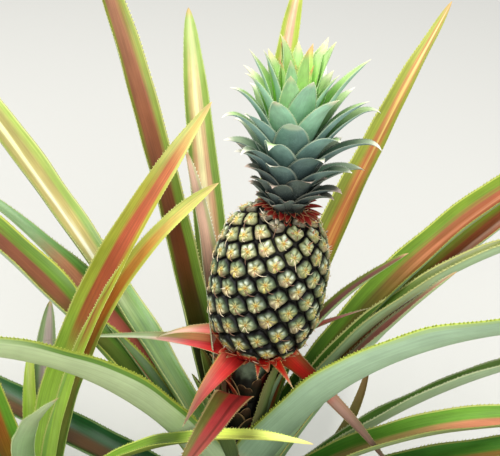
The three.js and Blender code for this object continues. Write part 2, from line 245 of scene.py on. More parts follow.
# --------------------------------------------------------------- leaf tables
# azimuth, foot height, first elevation, linear bend, late bend, sideways sweep,
# length, half width, roll at the foot, added roll
ROSETTE = {
    "leaf_01": (128.7, 155.8, 71.7, -5.6, 18.6, 11.3, 725.9, 22.8, 8, 0),
    "leaf_02": (103.8, 146.9, 66.5, 23.5, 22.5, -8.8, 552.0, 21.6, 0, 0),
    "leaf_03": (137.3, 176.6, 90.2, 4.5, 15.4, -1.0, 326.5, 15.4, 0, 0),
    "leaf_04": (79.7, 143.2, 64.7, 37.5, 24.4, 2.5, 685.8, 18.5, 0, 0),
    "leaf_05": (50.1, 147.8, 66.9, 35.1, -18.1, -8.7, 540.2, 23.0, -5, 0),
    "leaf_06": (18.0, 173.0, 90.0, 84.7, -25.0, -12.9, 277.5, 14.5, -6, 0),
    "leaf_07": (23.8, 140.9, 62.7, 66.2, 11.7, 0.8, 749.8, 26.6, -4, 0),
    "leaf_08": (20.9, 122.4, 56.1, 31.4, 22.9, -4.6, 716.2, 23.0, -5, 0),
    "leaf_09": (11.8, 151.6, 67.8, 75.7, 8.4, -6.6, 587.0, 24.3, -24, 0),
    "leaf_10": (4.5, 134.0, 62.6, 17.8, 4.5, -0.6, 315.4, 17.5, -15, 0),
    "leaf_11": (-29.3, 165.1, 64.6, 69.7, 2.6, 2.2, 611.7, 32.4, -36, 12),
    "leaf_12": (10.6, 95.1, 43.9, 56.5, 18.3, -4.3, 658.1, 21.5, -30, 0),
    "leaf_13": (-13.2, 107.9, 48.5, 73.0, 19.5, 3.5, 656.8, 22.5, -2, 0),
    "leaf_14": (-19.9, 86.0, 40.4, 29.5, 16.0, -0.2, 640.1, 25.0, -5, 0),
    "leaf_15": (143.4, 140.3, 54.7, 28.8, -13.3, 1.1, 677.9, 28.5, 18, -18),
    "leaf_16": (145.4, 115.7, 54.8, 27.1, 57.4, 1.2, 682.3, 22.2, 5, 0),
    "leaf_17": (157.8, 121.0, 53.0, 38.8, -0.8, -2.4, 777.4, 29.2, 8, 0),
    "leaf_18": (207.5, 145.8, 64.9, 75.0, 19.8, 20.3, 742.6, 29.3, 38, -16),
    "leaf_19": (152.2, 79.0, 8.4, -2.6, 7.5, -3.7, 692.5, 31.0, 4, 0),
    "leaf_20": (-87.5, 240.0, 53.3, 68.1, -18.6, -23.0, 284.0, 20.5, -8, 0),
    "leaf_21": (-55, 112, 50, 48, 18, 4, 640, 25, 0, 0),
    "leaf_22": (-95, 96, 44, 42, 20, -5, 620, 25, 0, 0),
    "leaf_23": (-133, 110, 49, 46, 20, 6, 610, 24, 0, 0),
    "leaf_24": (-72, 60, 26, 20, 12, 5, 560, 25, 0, 0),
    "leaf_25": (-118, 58, 22, 18, 10, -4, 570, 24, 0, 0),
    "leaf_26": (-160, 60, 24, 18, 14, 5, 560, 24, 0, 0),
    "leaf_27": (84, 78, 30, 30, 14, -2, 560, 24, 0, 0),
    "leaf_28": (-38, 52, 18, 14, 10, 3, 580, 24, 0, 0),
}
SHOOT_LEAVES = {
    "shoot_leaf_1": (-6.5, 58.6, 86.5, 52.9, -23.5, -0.9, 541.2, 22.1, 70, -5),
    "shoot_leaf_2": (-9.0, 42.8, 78.2, 6.2, 32.5, -5.0, 495.7, 19.0, 65, -5),
    "shoot_leaf_3": (79.4, 58.4, 71.0, 8.4, -1.8, 0.6, 227.1, 20.0, 0, 0),
    "shoot_leaf_4": (150.8, 39.1, 66.0, -16.0, -6.0, -4.0, 290.0, 24.0, 0, 0),
    "shoot_leaf_5": (100.9, 67.4, 78.2, 13.5, 13.9, -12.7, 168.0, 10.5, 0, 0),
    "shoot_leaf_6": (-87.3, 50.7, 65.6, 36.6, -15.2, 33.0, 416.2, 14.4, 0, 0),
    "shoot_leaf_7": (-32.1, 52.1, 52.3, 29.4, 10.1, -0.3, 428.9, 15.6, 0, 0),
    "shoot_leaf_8": (205, 40, 48, 34, 16, 4, 380, 18, 0, 0),
    "shoot_leaf_9": (-125, 36, 62, 34, 14, -4, 360, 17, 0, 0),
}
BRACTS = {
    "bract_1": (-139.7, 308.0, -21.7, 24.9, 2.1, -1.3, 98.0, 20.0, -8, 30),
    "bract_2": (160.7, 312.0, 5.6, 32.5, 7.8, 2.0, 100.9, 11.0, -26, 10),
    "bract_3": (161.1, 297.2, 1.6, 27.0, -5.3, -1.1, 237.6, 19.5, -34, 12),
    "bract_4": (-96.0, 305.0, -22, 28.7, 4.8, 3.9, 24.0, 5.2, 0, 0),
    "bract_5": (-64.2, 304.4, 5.4, 25.1, 4.3, 0.7, 50.4, 7.4, 10, 20),
    "bract_6": (-18.5, 301.4, -36.1, 17.0, -4.6, -3.8, 171.2, 13.5, 24, -10),
    "bract_7": (19.6, 304.4, 16.5, 8.3, 3.6, 0.1, 108.7, 7.4, 0, 0),
    "bract_8": (75, 305, 4, 30, 6, 2, 92, 8.5, 0, 0),
    "bract_9": (118, 305, -6, 28, 6, -3, 84, 8.5, 0, 0),
}
SHOOT = (-232.0, 55.0)
FRUIT_BASE = np.array([19.5, 0.0, 303.0])
FRUIT_TOP = np.array([42.5, 0.0, 459.0])
FRUIT_R = 56.5
CROWN_BASE = np.array([47.5, 0.0, 460.5])
CROWN_TOP = np.array([57.0, 0.0, 625.0])


# -------------------------------------------------------------- leaf surface
def long_outline(u):
    return (1 - u**3) ** 0.65 * (0.82 + 0.18 * np.clip(u / 0.2, 0, 1))


def leaf_frames(row, origin, start, u, curl=0.0):
    """Centre line of a leaf and its tangent, side and face directions at each u."""
    az, height, elev, bend, late, sweep, length = row[:7]
    a = np.radians(elev - bend * u - late * u * u - curl * (np.clip(u - 0.78, 0, 1) / 0.22) ** 1.6)
    b = np.radians(az + sweep * u)
    t = np.stack([np.cos(a) * np.cos(b), np.cos(a) * np.sin(b), np.sin(a)], -1)
    step = np.diff(u)[:, None] * length
    p = np.vstack([[0, 0, 0], np.cumsum((t[1:] + t[:-1]) / 2 * step, 0)])
    p = p + np.array([origin[0] + start * math.cos(math.radians(az)),
                      origin[1] + start * math.sin(math.radians(az)), height])
    s = np.stack([-np.sin(b), np.cos(b), 0 * b], -1)
    n = np.cross(t, s)
    r = np.radians(row[8] + row[9] * u)[:, None]
    side = s * np.cos(r) + n * np.sin(r)
    face = n * np.cos(r) - s * np.sin(r)
    return p, t, side, face


def add_blade(b, row, origin, start, *, n=80, nt=13, outline=long_outline, gutter=1.15, loss=0.45,
              thick=2.4, thin=0.6, teeth=None, seed=0, wave=0.8, clasp=0.3, clasp_to=0.13,
              chart=(0.0, 1.0), turn=None, base=None, extra=None, curl=0.0, cap=0.0, keel=0.0):
    """One leaf: channelled upper face, rounded underside, sharp edges and hooked teeth."""
    rng = np.random.default_rng(1000 + seed)
    u = np.linspace(0, 1, n + 1) ** 1.0
    u = 1 - (1 - u) ** 1.12
    p, tan, side, face = leaf_frames(row, origin, start, u, curl)
    length = row[6]
    w = row[7] * outline(u)
    ph = rng.uniform(0, 6.28, 6)
    w = w * (1 + 0.018 * np.sin(u * length / 38 + ph[0]) + 0.012 * np.sin(u * length / 17 + ph[1]))
    if clasp:
        w = w * (1 + clasp * (1 - smooth(u, 0, clasp_to)))
    w = np.maximum(w, 0.28)
    g = gutter - loss * u
    tt = np.linspace(-1, 1, nt)
    tt = np.sign(tt) * (1 - (1 - np.abs(tt)) ** 1.25)
    gt = g[:, None] * tt
    x = (w / g)[:, None] * np.sin(gt)
    y = (w / g)[:, None] * (1 - np.cos(gt))
    if keel:
        y = y - keel * np.exp(-((tt / 0.16) ** 2))[None] * smooth(u, 0, 0.1)[:, None] * (1 - smooth(u, 0.9, 1))[:, None]
    edge = np.abs(tt)[None] ** 2.0
    ripple = wave * (np.sin(u * length / 23 + ph[2]) + 0.6 * np.sin(u * length / 11 + ph[3]))[:, None] * (tt[None] > 0) \
        + wave * (np.sin(u * length / 21 + ph[4]) + 0.6 * np.sin(u * length / 12 + ph[5]))[:, None] * (tt[None] < 0)
    y = y + ripple * edge * smooth(u, 0.02, 0.2)[:, None] * (0.3 + 0.7 * np.minimum(1, w / 12))[:, None]
    top = p[:, None] + x[..., None] * side[:, None] + y[..., None] * face[:, None]
    nrm = -np.sin(gt)[..., None] * side[:, None] + np.cos(gt)[..., None] * face[:, None]
    th = (thick * (1 - thin * u))[:, None] * np.clip(1 - np.abs(tt)[None] ** 2.4, 0, 1) + 0.0
    th = th * np.minimum(1, w / 5)[:, None]
    low = top - nrm * th[..., None]
    if turn is not None:
        top = top @ turn.T
        low = low @ turn.T
    if base is not None:
        top = top + base
        low = low + base
    c0, c1 = chart
    cw = c1 - c0
    rows = n + 1
    U = np.broadcast_to(u[:, None], (rows, nt))
    A = np.broadcast_to(tt[None], (rows, nt))
    extra = extra or {}
    first = b.verts(top, across=A, along=U, under=np.where(np.abs(A) > 0.999, 0.5, 0.0), **extra)
    inner = b.verts(low[:, 1:-1], across=A[:, 1:-1], along=U[:, 1:-1], under=1.0, **extra)
    i, j = np.meshgrid(np.arange(n), np.arange(nt - 1), indexing="ij")
    i, j = i.ravel(), j.ravel()
    T = lambda a, c: first + a * nt + c

    def L(a, c):
        return np.where(c == 0, first + a * nt, np.where(c == nt - 1, first + a * nt + nt - 1, inner + a * (nt - 2) + c - 1))

    q = np.stack([T(i, j), T(i, j + 1), T(i + 1, j + 1), T(i + 1, j)], -1)
    # the chart keeps every face at least a little wide, also where the blade is narrow
    sx = 0.5 + 0.5 * A
    v = 0.02 + 0.96 * U

    def uvs(x0, x1, a, c):
        return np.stack([c0 + cw * (x0 + (x1 - x0) * sx[a, c]), v[a, c]], -1)

    b.quads(q, np.stack([uvs(0.02, 0.48, i, j), uvs(0.02, 0.48, i, j + 1), uvs(0.02, 0.48, i + 1, j + 1), uvs(0.02, 0.48, i + 1, j)], 1))
    q = np.stack([L(i, j), L(i + 1, j), L(i + 1, j + 1), L(i, j + 1)], -1)
    b.quads(q, np.stack([uvs(0.52, 0.98, i, j), uvs(0.52, 0.98, i + 1, j), uvs(0.52, 0.98, i + 1, j + 1), uvs(0.52, 0.98, i, j + 1)], 1))
    # end faces
    for k, flip in ((0, False), (n, True)):
        jj = np.arange(nt - 1)
        kk = np.full(nt - 1, k)
        a_, b_, c_, d_ = T(kk, jj), T(kk, jj + 1), L(kk, jj + 1), L(kk, jj)
        quad = np.stack([a_, d_, c_, b_], -1) if not flip else np.stack([a_, b_, c_, d_], -1)
        for r in range(nt - 1):
            f = quad[r]
            uniq = [f[0]]
            for z in f[1:]:
                if z not in uniq:
                    uniq.append(z)
            vv = 0.012 if k == 0 else 0.986
            x_ = c0 + cw * (0.02 + 0.46 * r / (nt - 1))
            pts = [(x_, vv), (x_ + cw * 0.03, vv), (x_ + cw * 0.03, vv + 0.006), (x_, vv + 0.006)]
            if len(uniq) == 4:
                b.quads([uniq], [pts])
            elif len(uniq) == 3:
                b.tris([uniq], [pts[:3]])
    if teeth:
        pitch, high, wide = teeth
        du = pitch / length
        for s in (-1, 1):
            k = np.arange(teeth_from(length), 0.985, du)
            k = np.clip(k + rng.uniform(-0.22, 0.22, len(k)) * du, 0.01, 0.99)
            size = rng.uniform(0.75, 1.2, len(k)) * np.clip((1 - k) * 14, 0.3, 1)
            col = 0 if s < 0 else nt - 1

            def at(arr, kk):
                out = np.stack([np.interp(kk, u, arr[:, m]) for m in range(3)], -1)
                return out

            e = at(top[:, col], k)
            t_ = at(tan if turn is None else tan @ turn.T, k)
            t_ /= np.linalg.norm(t_, axis=1)[:, None]
            near = at(top[:, 1 if s < 0 else nt - 2], k)
            d = e - near
            d -= (d * t_).sum(1)[:, None] * t_
            d /= np.linalg.norm(d, axis=1)[:, None] + 1e-9
            m = np.cross(t_, d)
            h = (high * size)[:, None]
            wd = (wide * size)[:, None]
            q0 = e - d * 0.35 - t_ * wd * 0.55 + m * 0.22
            q1 = e - d * 0.35 + t_ * wd * 0.45 + m * 0.22
            q2 = e - d * 0.35 + t_ * wd * 0.45 - m * 0.22
            q3 = e - d * 0.35 - t_ * wd * 0.55 - m * 0.22
            ap = e + d * h + t_ * wd * 0.75
            pts = np.stack([q0, q1, q2, q3, ap], 1)
            f = b.verts(pts, across=float(s), along=np.repeat(k, 5), under=0.5,
                        **{kk: (vv if np.size(vv) == 1 else 0.0) for kk, vv in extra.items()})
            o = f + 5 * np.arange(len(k))[:, None]
            faces = np.concatenate([o + np.array([[0, 1, 4]]), o + np.array([[1, 2, 4]]), o + np.array([[2, 3, 4]]),
                                    o + np.array([[3, 0, 4]]), o + np.array([[2, 1, 0]]), o + np.array([[3, 2, 0]])])
            if s < 0:
                faces = faces[:, ::-1]
            x0 = c0 + cw * 0.487
            one = np.array([[x0, 0.3], [x0 + cw * 0.026, 0.3], [x0 + cw * 0.013, 0.6]])
            b.tris(faces, np.broadcast_to(one, (len(faces), 3, 2)))
    return top


def teeth_from(length):
    return 0.07 if length > 250 else 0.1


# ------------------------------------------------------------ leaf materials
def leaf_material(name, pal, length, width, seed):
    m = Mat("mat_" + name, specular=pal.get("spec", 0.3), coat=pal.get("coat", 0.0), coat_roughness=0.25)
    across, along, under = m.attr("across"), m.attr("along"), m.attr("under")
    x = m.math("MULTIPLY", across, width)
    y = m.math("MULTIPLY", along, length)
    broad = m.noise(m.xyz(m.math("MULTIPLY", x, 0.16), m.math("MULTIPLY", y, 0.006), seed * 3.7), 1.0, 2.0, 0.55)
    fine = m.noise(m.xyz(m.math("MULTIPLY", x, 0.95), m.math("MULTIPLY", y, 0.012), seed * 1.3 + 9), 1.0, 2.0, 0.6)
    cloud = m.noise(m.xyz(m.math("MULTIPLY", x, 0.05), m.math("MULTIPLY", y, 0.022), seed * 2.1 + 4), 1.0, 3.0, 0.6)
    fleck = m.noise(m.xyz(m.math("MULTIPLY", x, 0.6), m.math("MULTIPLY", y, 0.35), seed + 21), 1.0, 2.0, 0.6)

    stops = lambda cs: [(p, lin(c)) for p, c in cs]
    green = m.ramp(along, stops(pal["green"]))
    stripe = m.ramp(along, stops(pal["stripe"]))
    mid = m.ramp(along, stops(pal["mid"])) if "mid" in pal else None
    below = m.ramp(along, stops(pal["under"]))
    off, half, soft = pal.get("offset", 0.0), pal.get("half", 0.42), pal.get("soft", 0.2)
    dist = m.math("ABSOLUTE", m.math("SUBTRACT", across, off))
    wob = m.math("MULTIPLY", m.math("SUBTRACT", broad, 0.5), 0.55)
    dist = m.math("ADD", dist, wob)
    mask = m.smooth(dist, half - soft, half + soft, 1.0, 0.0)
    mask = m.math("MULTIPLY", mask, m.smooth(along, pal.get("stripe_from", 0.0), pal.get("stripe_from", 0.0) + 0.15))
    top = m.mix(mask, green, stripe)
    # band along the middle of the blade in the mid colours; on leaf_02 and leaf_15 this pale band is a painted
    # highlight
    if mid is not None:
        core = m.smooth(dist, 0.02, pal.get("mid_half", 0.22) + 0.06, pal.get("mid_amount", 0.9), 0.0)
        top = m.mix(core, top, mid)
    # fine long streaks and soft clouds
    top = m.scale(top, m.smooth(fine, 0.25, 0.75, 0.80, 1.16))
    top = m.scale(top, m.smooth(cloud, 0.3, 0.7, 0.88, 1.08))
    if "lap" in pal and pal["lap"][1] > 0:
        side, reach, lap_colour, u0, u1 = pal["lap"]
        band = m.smooth(m.math("ADD", m.math("MULTIPLY", across, side), m.math("MULTIPLY", m.math("SUBTRACT", broad, 0.5), 0.14)), 0.98 - reach, 1.04 - reach)
        band = m.math("MULTIPLY", band, m.math("MULTIPLY", m.smooth(along, u0 - 0.06, u0 + 0.04), m.smooth(along, u1 + 0.03, u1 - 0.04)))
        top = m.mix(m.math("MULTIPLY", band, 0.92), top, m.scale(lin(lap_colour)[:3], m.smooth(fine, 0.25, 0.75, 0.86, 1.12)))
    edge_top = m.smooth(m.math("ABSOLUTE", across), 0.90, 0.965)
    below = m.scale(below, m.smooth(fine, 0.25, 0.75, 0.90, 1.07))
    below = m.scale(below, m.smooth(cloud, 0.3, 0.7, 0.92, 1.05))
    red_edge = m.smooth(m.math("ADD", m.math("ABSOLUTE", across), m.math("MULTIPLY", m.math("SUBTRACT", broad, 0.5), 0.3)), 0.80, 0.93, 0.0, 0.35)
    below = m.mix(red_edge, below, green)
    if "roll" in pal:
        side, reach, roll_colour, u0, u1 = pal["roll"]
        band = m.smooth(m.math("ADD", m.math("MULTIPLY", across, side), m.math("MULTIPLY", m.math("SUBTRACT", broad, 0.5), 0.16)), 1 - reach, 1.05 - reach)
        band = m.math("MULTIPLY", band, m.math("MULTIPLY", m.smooth(along, u0 - 0.06, u0 + 0.04), m.smooth(along, u1 + 0.1, u1 - 0.04)))
        below = m.mix(m.math("MULTIPLY", band, 0.92), below, m.scale(lin(roll_colour)[:3], m.smooth(fine, 0.25, 0.75, 0.8, 1.16)))
    c = m.mix(m.smooth(under, 0.35, 0.65), top, below)
    c = m.mix(m.math("MULTIPLY", edge_top, pal.get("edge_amount", 0.85)), c, lin(pal["edge"]))
    # dry tip and pale foot
    c = m.mix(m.smooth(along, 0.955, 0.995, 0.0, 0.8), c, lin(pal.get("tip", (190, 150, 100))))
    c = m.mix(m.smooth(along, 0.03, 0.0, 0.0, 0.7), c, lin((196, 196, 150)))
    spots = m.smooth(fleck, 0.70, 0.80, 0.0, 0.35)
    c = m.mix(spots, c, lin(pal.get("fleck", (120, 100, 50))))
    m.colour(c)
    r = m.math("ADD", pal.get("rough", 0.36), m.math("MULTIPLY", m.math("SUBTRACT", fine, 0.5), 0.14))
    r = m.math("ADD", r, m.smooth(under, 0.35, 0.65, 0.0, 0.18))
    m.rough(r)
    m.bump(m.math("ADD", fine, m.math("MULTIPLY", broad, 0.6)), 0.22, 0.0006)
    return m.m


G3 = lambda a, b, c: [(0.06, a), (0.5, b), (0.95, c)]
BASE_PALETTE = dict(
    green=G3((44, 92, 18), (112, 152, 44), (176, 190, 84)),
    stripe=G3((86, 46, 20), (146, 82, 50), (206, 150, 96)),
    under=G3((150, 180, 126), (176, 206, 164), (186, 206, 150)),
    edge=(214, 222, 150), tip=(196, 160, 110))
PALETTES = {
    "leaf_01": dict(green=[(0.06, (50, 98, 22)), (0.35, (116, 146, 40)), (0.6, (146, 160, 56)), (0.95, (160, 168, 66))],
                    stripe=[(0.06, (36, 44, 12)), (0.2, (56, 56, 16)), (0.33, (104, 56, 28)), (0.48, (152, 92, 62)), (0.7, (174, 122, 92)), (0.95, (184, 146, 98))],
                    offset=-0.1, half=0.5, soft=0.16, edge=(232, 232, 150)),
    # leaf_02: the cream mid band is a painted highlight
    "leaf_02": dict(green=[(0.06, (66, 110, 26)), (0.45, (108, 136, 54)), (0.75, (130, 154, 66)), (0.95, (150, 172, 92))],
                    stripe=[(0.06, (110, 70, 36)), (0.3, (180, 132, 96)), (0.55, (196, 148, 110)), (0.75, (184, 164, 108)), (0.95, (170, 186, 116))],
                    mid=[(0.0, (120, 80, 50)), (0.35, (226, 208, 172)), (0.65, (226, 220, 160)), (0.95, (180, 200, 130))], mid_half=0.28,
                    half=0.46, soft=0.18, offset=0.06, edge=(190, 204, 130), rough=0.44, spec=0.22),
    "leaf_03": dict(green=G3((120, 140, 60), (176, 184, 120), (206, 200, 150)),
                    stripe=G3((170, 120, 84), (226, 178, 152), (236, 196, 170)), half=0.6, edge=(248, 244, 218)),
    "leaf_04": dict(green=[(0.06, (70, 110, 30)), (0.5, (120, 150, 50)), (0.8, (156, 174, 66)), (0.95, (190, 190, 90))],
                    stripe=[(0.06, (110, 60, 30)), (0.5, (170, 112, 76)), (0.8, (196, 158, 128)), (0.95, (196, 166, 120))],
                    mid=[(0.0, (150, 110, 70)), (0.6, (200, 180, 150)), (0.95, (206, 194, 156))], mid_half=0.2,
                    half=0.42, offset=0.1, edge=(200, 206, 130), rough=0.5, spec=0.18),
    "leaf_05": dict(green=[(0.06, (70, 110, 30)), (0.5, (108, 116, 36)), (0.75, (136, 144, 52)), (0.95, (168, 172, 84))],
                    stripe=[(0.06, (110, 58, 30)), (0.4, (146, 80, 40)), (0.65, (160, 98, 54)), (0.95, (196, 146, 92))],
                    mid=[(0.0, (150, 96, 60)), (0.5, (176, 130, 66)), (0.75, (204, 178, 100)), (0.95, (226, 216, 150))], mid_half=0.14,
                    half=0.38, soft=0.16, offset=0.04, edge=(196, 200, 110), rough=0.5, spec=0.16),
    "leaf_06": dict(green=[(0.06, (60, 80, 30)), (0.6, (100, 112, 44)), (0.95, (120, 130, 56))],
                    stripe=[(0.06, (80, 50, 44)), (0.55, (118, 70, 60)), (0.8, (128, 78, 70)), (0.95, (136, 92, 72))], half=0.60, edge=(160, 160, 90)),
    "leaf_07": dict(green=[(0.06, (52, 96, 26)), (0.35, (92, 124, 30)), (0.5, (108, 132, 36)), (0.7, (122, 140, 42)), (0.95, (140, 156, 54))],
                    stripe=[(0.06, (60, 64, 14)), (0.28, (78, 76, 18)), (0.42, (140, 82, 44)), (0.6, (156, 80, 54)), (0.95, (182, 112, 80))],
                    mid=[(0.0, (60, 64, 20)), (0.3, (100, 90, 34)), (0.42, (178, 112, 78)), (0.6, (196, 134, 100)), (0.95, (206, 156, 120))], mid_half=0.18,
                    half=0.5, soft=0.16, offset=-0.02, edge=(186, 194, 92), rough=0.55, spec=0.14, lap=(-1.0, 0.17, (160, 180, 140), 0.36, 0.95)),
    "leaf_08": dict(green=G3((50, 90, 24), (120, 140, 40), (150, 160, 70)),
                    stripe=[(0.06, (90, 44, 22)), (0.5, (150, 80, 50)), (0.75, (196, 130, 100)), (0.95, (220, 180, 150))],
                    mid=[(0.0, (140, 80, 60)), (0.6, (222, 170, 150)), (0.95, (240, 214, 190))], mid_half=0.2,
                    half=0.66, edge=(206, 196, 110)),
    "leaf_09": dict(green=[(0.06, (16, 74, 14)), (0.3, (64, 100, 26)), (0.6, (108, 116, 42)), (0.95, (150, 160, 80))],
                    stripe=[(0.06, (50, 70, 20)), (0.4, (120, 110, 40)), (0.95, (176, 160, 90))],
                    under=[(0.06, (138, 168, 120)), (0.5, (170, 196, 150)), (0.95, (190, 205, 165))], half=0.35, edge=(206, 206, 130)),
    "leaf_10": dict(green=G3((70, 90, 50), (140, 150, 110), (180, 180, 140)),
                    stripe=[(0.06, (90, 50, 36)), (0.4, (176, 104, 92)), (0.7, (196, 124, 112)), (0.95, (176, 136, 110))],
                    mid=[(0.0, (130, 76, 60)), (0.4, (222, 176, 164)), (0.95, (228, 196, 184))], mid_half=0.2,
                    half=0.74, edge=(206, 200, 150), rough=0.5, spec=0.2),
    "leaf_11": dict(green=[(0.06, (130, 160, 60)), (0.5, (176, 200, 70)), (0.95, (196, 206, 90))],
                    stripe=G3((120, 120, 40), (160, 150, 60), (190, 170, 90)),
                    under=[(0.06, (152, 182, 146)), (0.35, (178, 206, 172)), (0.7, (164, 192, 158)), (0.95, (148, 174, 142))],
                    half=0.35, edge=(186, 200, 70), roll=(1.0, 0.15, (124, 150, 40), 0.12, 0.9)),
    "leaf_12": dict(green=[(0.06, (60, 104, 30)), (0.3, (96, 136, 48)), (0.5, (96, 124, 50)), (0.95, (150, 168, 110))],
                    stripe=[(0.06, (120, 84, 56)), (0.3, (166, 112, 86)), (0.5, (150, 124, 80)), (0.95, (230, 220, 190))],
                    under=[(0.06, (120, 140, 90)), (0.5, (160, 180, 140)), (0.95, (230, 232, 205))], edge=(214, 220, 170), half=0.4),
    "leaf_13": dict(green=[(0.06, (40, 96, 16)), (0.4, (100, 146, 44)), (0.7, (120, 156, 50)), (0.95, (150, 176, 70))],
                    stripe=[(0.06, (120, 110, 60)), (0.28, (168, 140, 84)), (0.4, (196, 124, 92)), (0.6, (196, 124, 92)), (0.95, (204, 140, 100))],
                    under=[(0.06, (150, 178, 130)), (0.3, (170, 184, 124)), (0.5, (180, 176, 120)), (0.95, (170, 196, 150))],
                    half=0.48, soft=0.18, offset=-0.16, edge=(196, 196, 110), rough=0.5, spec=0.18, lap=(-1.0, 0.17, (168, 190, 152), 0.2, 0.9)),
    "leaf_14": dict(green=[(0.06, (26, 84, 16)), (0.5, (66, 120, 34)), (0.95, (120, 150, 60))],
                    stripe=[(0.06, (90, 60, 24)), (0.5, (140, 104, 50)), (0.95, (180, 140, 90))], half=0.36, edge=(190, 196, 110)),
    # leaf_15: the near-white mid band is a painted highlight
    "leaf_15": dict(green=[(0.06, (96, 140, 50)), (0.3, (120, 160, 80)), (0.6, (160, 180, 84)), (0.95, (200, 208, 130))],
                    stripe=[(0.06, (120, 144, 94)), (0.25, (128, 156, 106)), (0.45, (190, 172, 108)), (0.65, (166, 154, 92)), (0.95, (206, 200, 130))],
                    mid=[(0.0, (150, 150, 100)), (0.25, (150, 176, 104)), (0.4, (244, 242, 216)), (0.65, (240, 238, 176)), (0.95, (226, 226, 150))], mid_half=0.2,
                    under=[(0.06, (150, 180, 110)), (0.95, (176, 186, 124))], half=0.5, offset=-0.12, edge=(218, 218, 150), rough=0.3, coat=0.2),
    "leaf_16": dict(green=[(0.06, (30, 96, 16)), (0.4, (90, 136, 44)), (0.55, (130, 168, 110)), (0.95, (150, 186, 140))],
                    stripe=[(0.06, (150, 76, 56)), (0.16, (176, 88, 72)), (0.34, (184, 96, 80)), (0.42, (176, 118, 84)), (0.52, (136, 164, 116)), (0.95, (150, 186, 142))],
                    under=[(0.06, (160, 190, 130)), (0.5, (158, 192, 146)), (0.95, (164, 196, 150))], half=0.62, soft=0.14, offset=0.1, edge=(196, 206, 140)),
    "leaf_17": dict(green=[(0.06, (60, 104, 30)), (0.35, (92, 124, 38)), (0.6, (110, 138, 42)), (0.95, (160, 180, 70))],
                    stripe=[(0.06, (84, 100, 36)), (0.22, (84, 104, 40)), (0.36, (120, 72, 50)), (0.6, (124, 70, 58)), (0.8, (156, 90, 76)), (0.95, (184, 134, 100))],
                    under=[(0.06, (128, 164, 66)), (0.22, (132, 164, 70)), (0.38, (196, 214, 174)), (0.95, (186, 220, 182))],
                    half=0.40, soft=0.16, offset=-0.12, edge=(204, 206, 96), lap=(1.0, 0.30, (176, 196, 150), 0.26, 0.96)),
    "leaf_18": dict(green=[(0.06, (24, 82, 8)), (0.3, (96, 142, 34)), (0.55, (128, 160, 48)), (0.95, (176, 188, 56))],
                    stripe=[(0.06, (40, 80, 16)), (0.5, (140, 130, 50)), (0.95, (186, 180, 60))],
                    under=[(0.06, (176, 196, 150)), (0.35, (192, 208, 158)), (0.7, (180, 204, 152)), (0.95, (164, 184, 136))],
                    half=0.3, edge=(200, 206, 80), edge_amount=0.6, roll=(1.0, 0.24, (92, 134, 40), 0.10, 0.40)),
    "leaf_19": dict(green=[(0.06, (8, 60, 18)), (0.4, (18, 82, 26)), (0.7, (88, 124, 54)), (0.95, (150, 176, 90))],
                    stripe=[(0.06, (56, 46, 22)), (0.3, (96, 66, 34)), (0.6, (112, 82, 54)), (0.95, (150, 146, 96))], half=0.33, edge=(120, 146, 70)),
    "leaf_20": dict(green=[(0.1, (84, 14, 9)), (0.3, (84, 30, 14)), (0.42, (76, 62, 22)), (0.65, (80, 80, 30)), (0.95, (112, 106, 58))],
                    stripe=[(0.02, (66, 5, 5)), (0.28, (112, 10, 9)), (0.5, (118, 24, 24)), (0.7, (140, 44, 44)), (0.95, (140, 74, 62))],
                    mid=[(0.0, (60, 4, 4)), (0.3, (72, 8, 7)), (0.6, (84, 16, 14)), (0.95, (110, 54, 44))], mid_half=0.16, mid_amount=0.85,
                    under=[(0.06, (120, 30, 24)), (0.5, (140, 90, 70)), (0.95, (150, 130, 96))],
                    half=0.66, soft=0.24, offset=0.34, edge=(170, 150, 100), edge_amount=0.6, rough=0.6, spec=0.12),
    "shoot_leaf_1": dict(green=[(0.06, (160, 194, 84)), (0.4, (146, 180, 58)), (0.58, (158, 166, 52)), (0.78, (178, 176, 66)), (0.93, (222, 224, 136))],
                         stripe=[(0.3, (150, 140, 50)), (0.46, (150, 84, 34)), (0.6, (164, 76, 38)), (0.72, (186, 92, 60)), (0.84, (200, 116, 76)), (0.95, (226, 200, 120))],
                         under=[(0.06, (160, 190, 86)), (0.5, (180, 190, 92)), (0.95, (216, 216, 120))],
                         half=0.48, soft=0.16, offset=-0.08, stripe_from=0.34, edge=(214, 218, 124), rough=0.38),
    "shoot_leaf_2": dict(green=[(0.06, (130, 170, 70)), (0.36, (142, 176, 86)), (0.52, (172, 186, 76)), (0.72, (186, 186, 76)), (0.95, (206, 210, 112))],
                         stripe=[(0.06, (120, 156, 64)), (0.36, (150, 150, 74)), (0.5, (176, 116, 50)), (0.62, (186, 108, 44)), (0.76, (200, 136, 56)), (0.95, (220, 210, 120))],
                         under=[(0.06, (160, 190, 100)), (0.5, (176, 200, 112)), (0.95, (206, 210, 126))],
                         half=0.42, soft=0.16, edge=(216, 220, 130), rough=0.38),
    "shoot_leaf_3": dict(green=G3((90, 130, 70), (120, 150, 96), (150, 170, 120)),
                         stripe=G3((110, 100, 90), (170, 150, 150), (196, 176, 170)), half=0.4, edge=(200, 210, 160)),
    "shoot_leaf_4": dict(green=[(0.06, (60, 130, 30)), (0.5, (110, 160, 44)), (0.95, (170, 176, 60))],
                         stripe=[(0.06, (110, 110, 30)), (0.5, (176, 96, 44)), (0.95, (200, 120, 60))], half=0.5, edge=(226, 226, 110)),
    "shoot_leaf_5": dict(green=G3((120, 160, 50), (150, 184, 62), (186, 206, 90)), stripe=G3((120, 156, 56), (146, 176, 66), (190, 200, 96)),
                         under=G3((130, 166, 70), (150, 182, 80), (190, 204, 110)), half=0.3, edge=(206, 216, 120)),
    "shoot_leaf_6": dict(green=G3((70, 120, 46), (120, 160, 84), (160, 184, 110)), stripe=G3((90, 130, 60), (126, 156, 90), (166, 180, 110)),
                         under=[(0.06, (130, 170, 104)), (0.5, (150, 184, 126)), (0.95, (186, 204, 156))], half=0.3, edge=(204, 216, 160)),
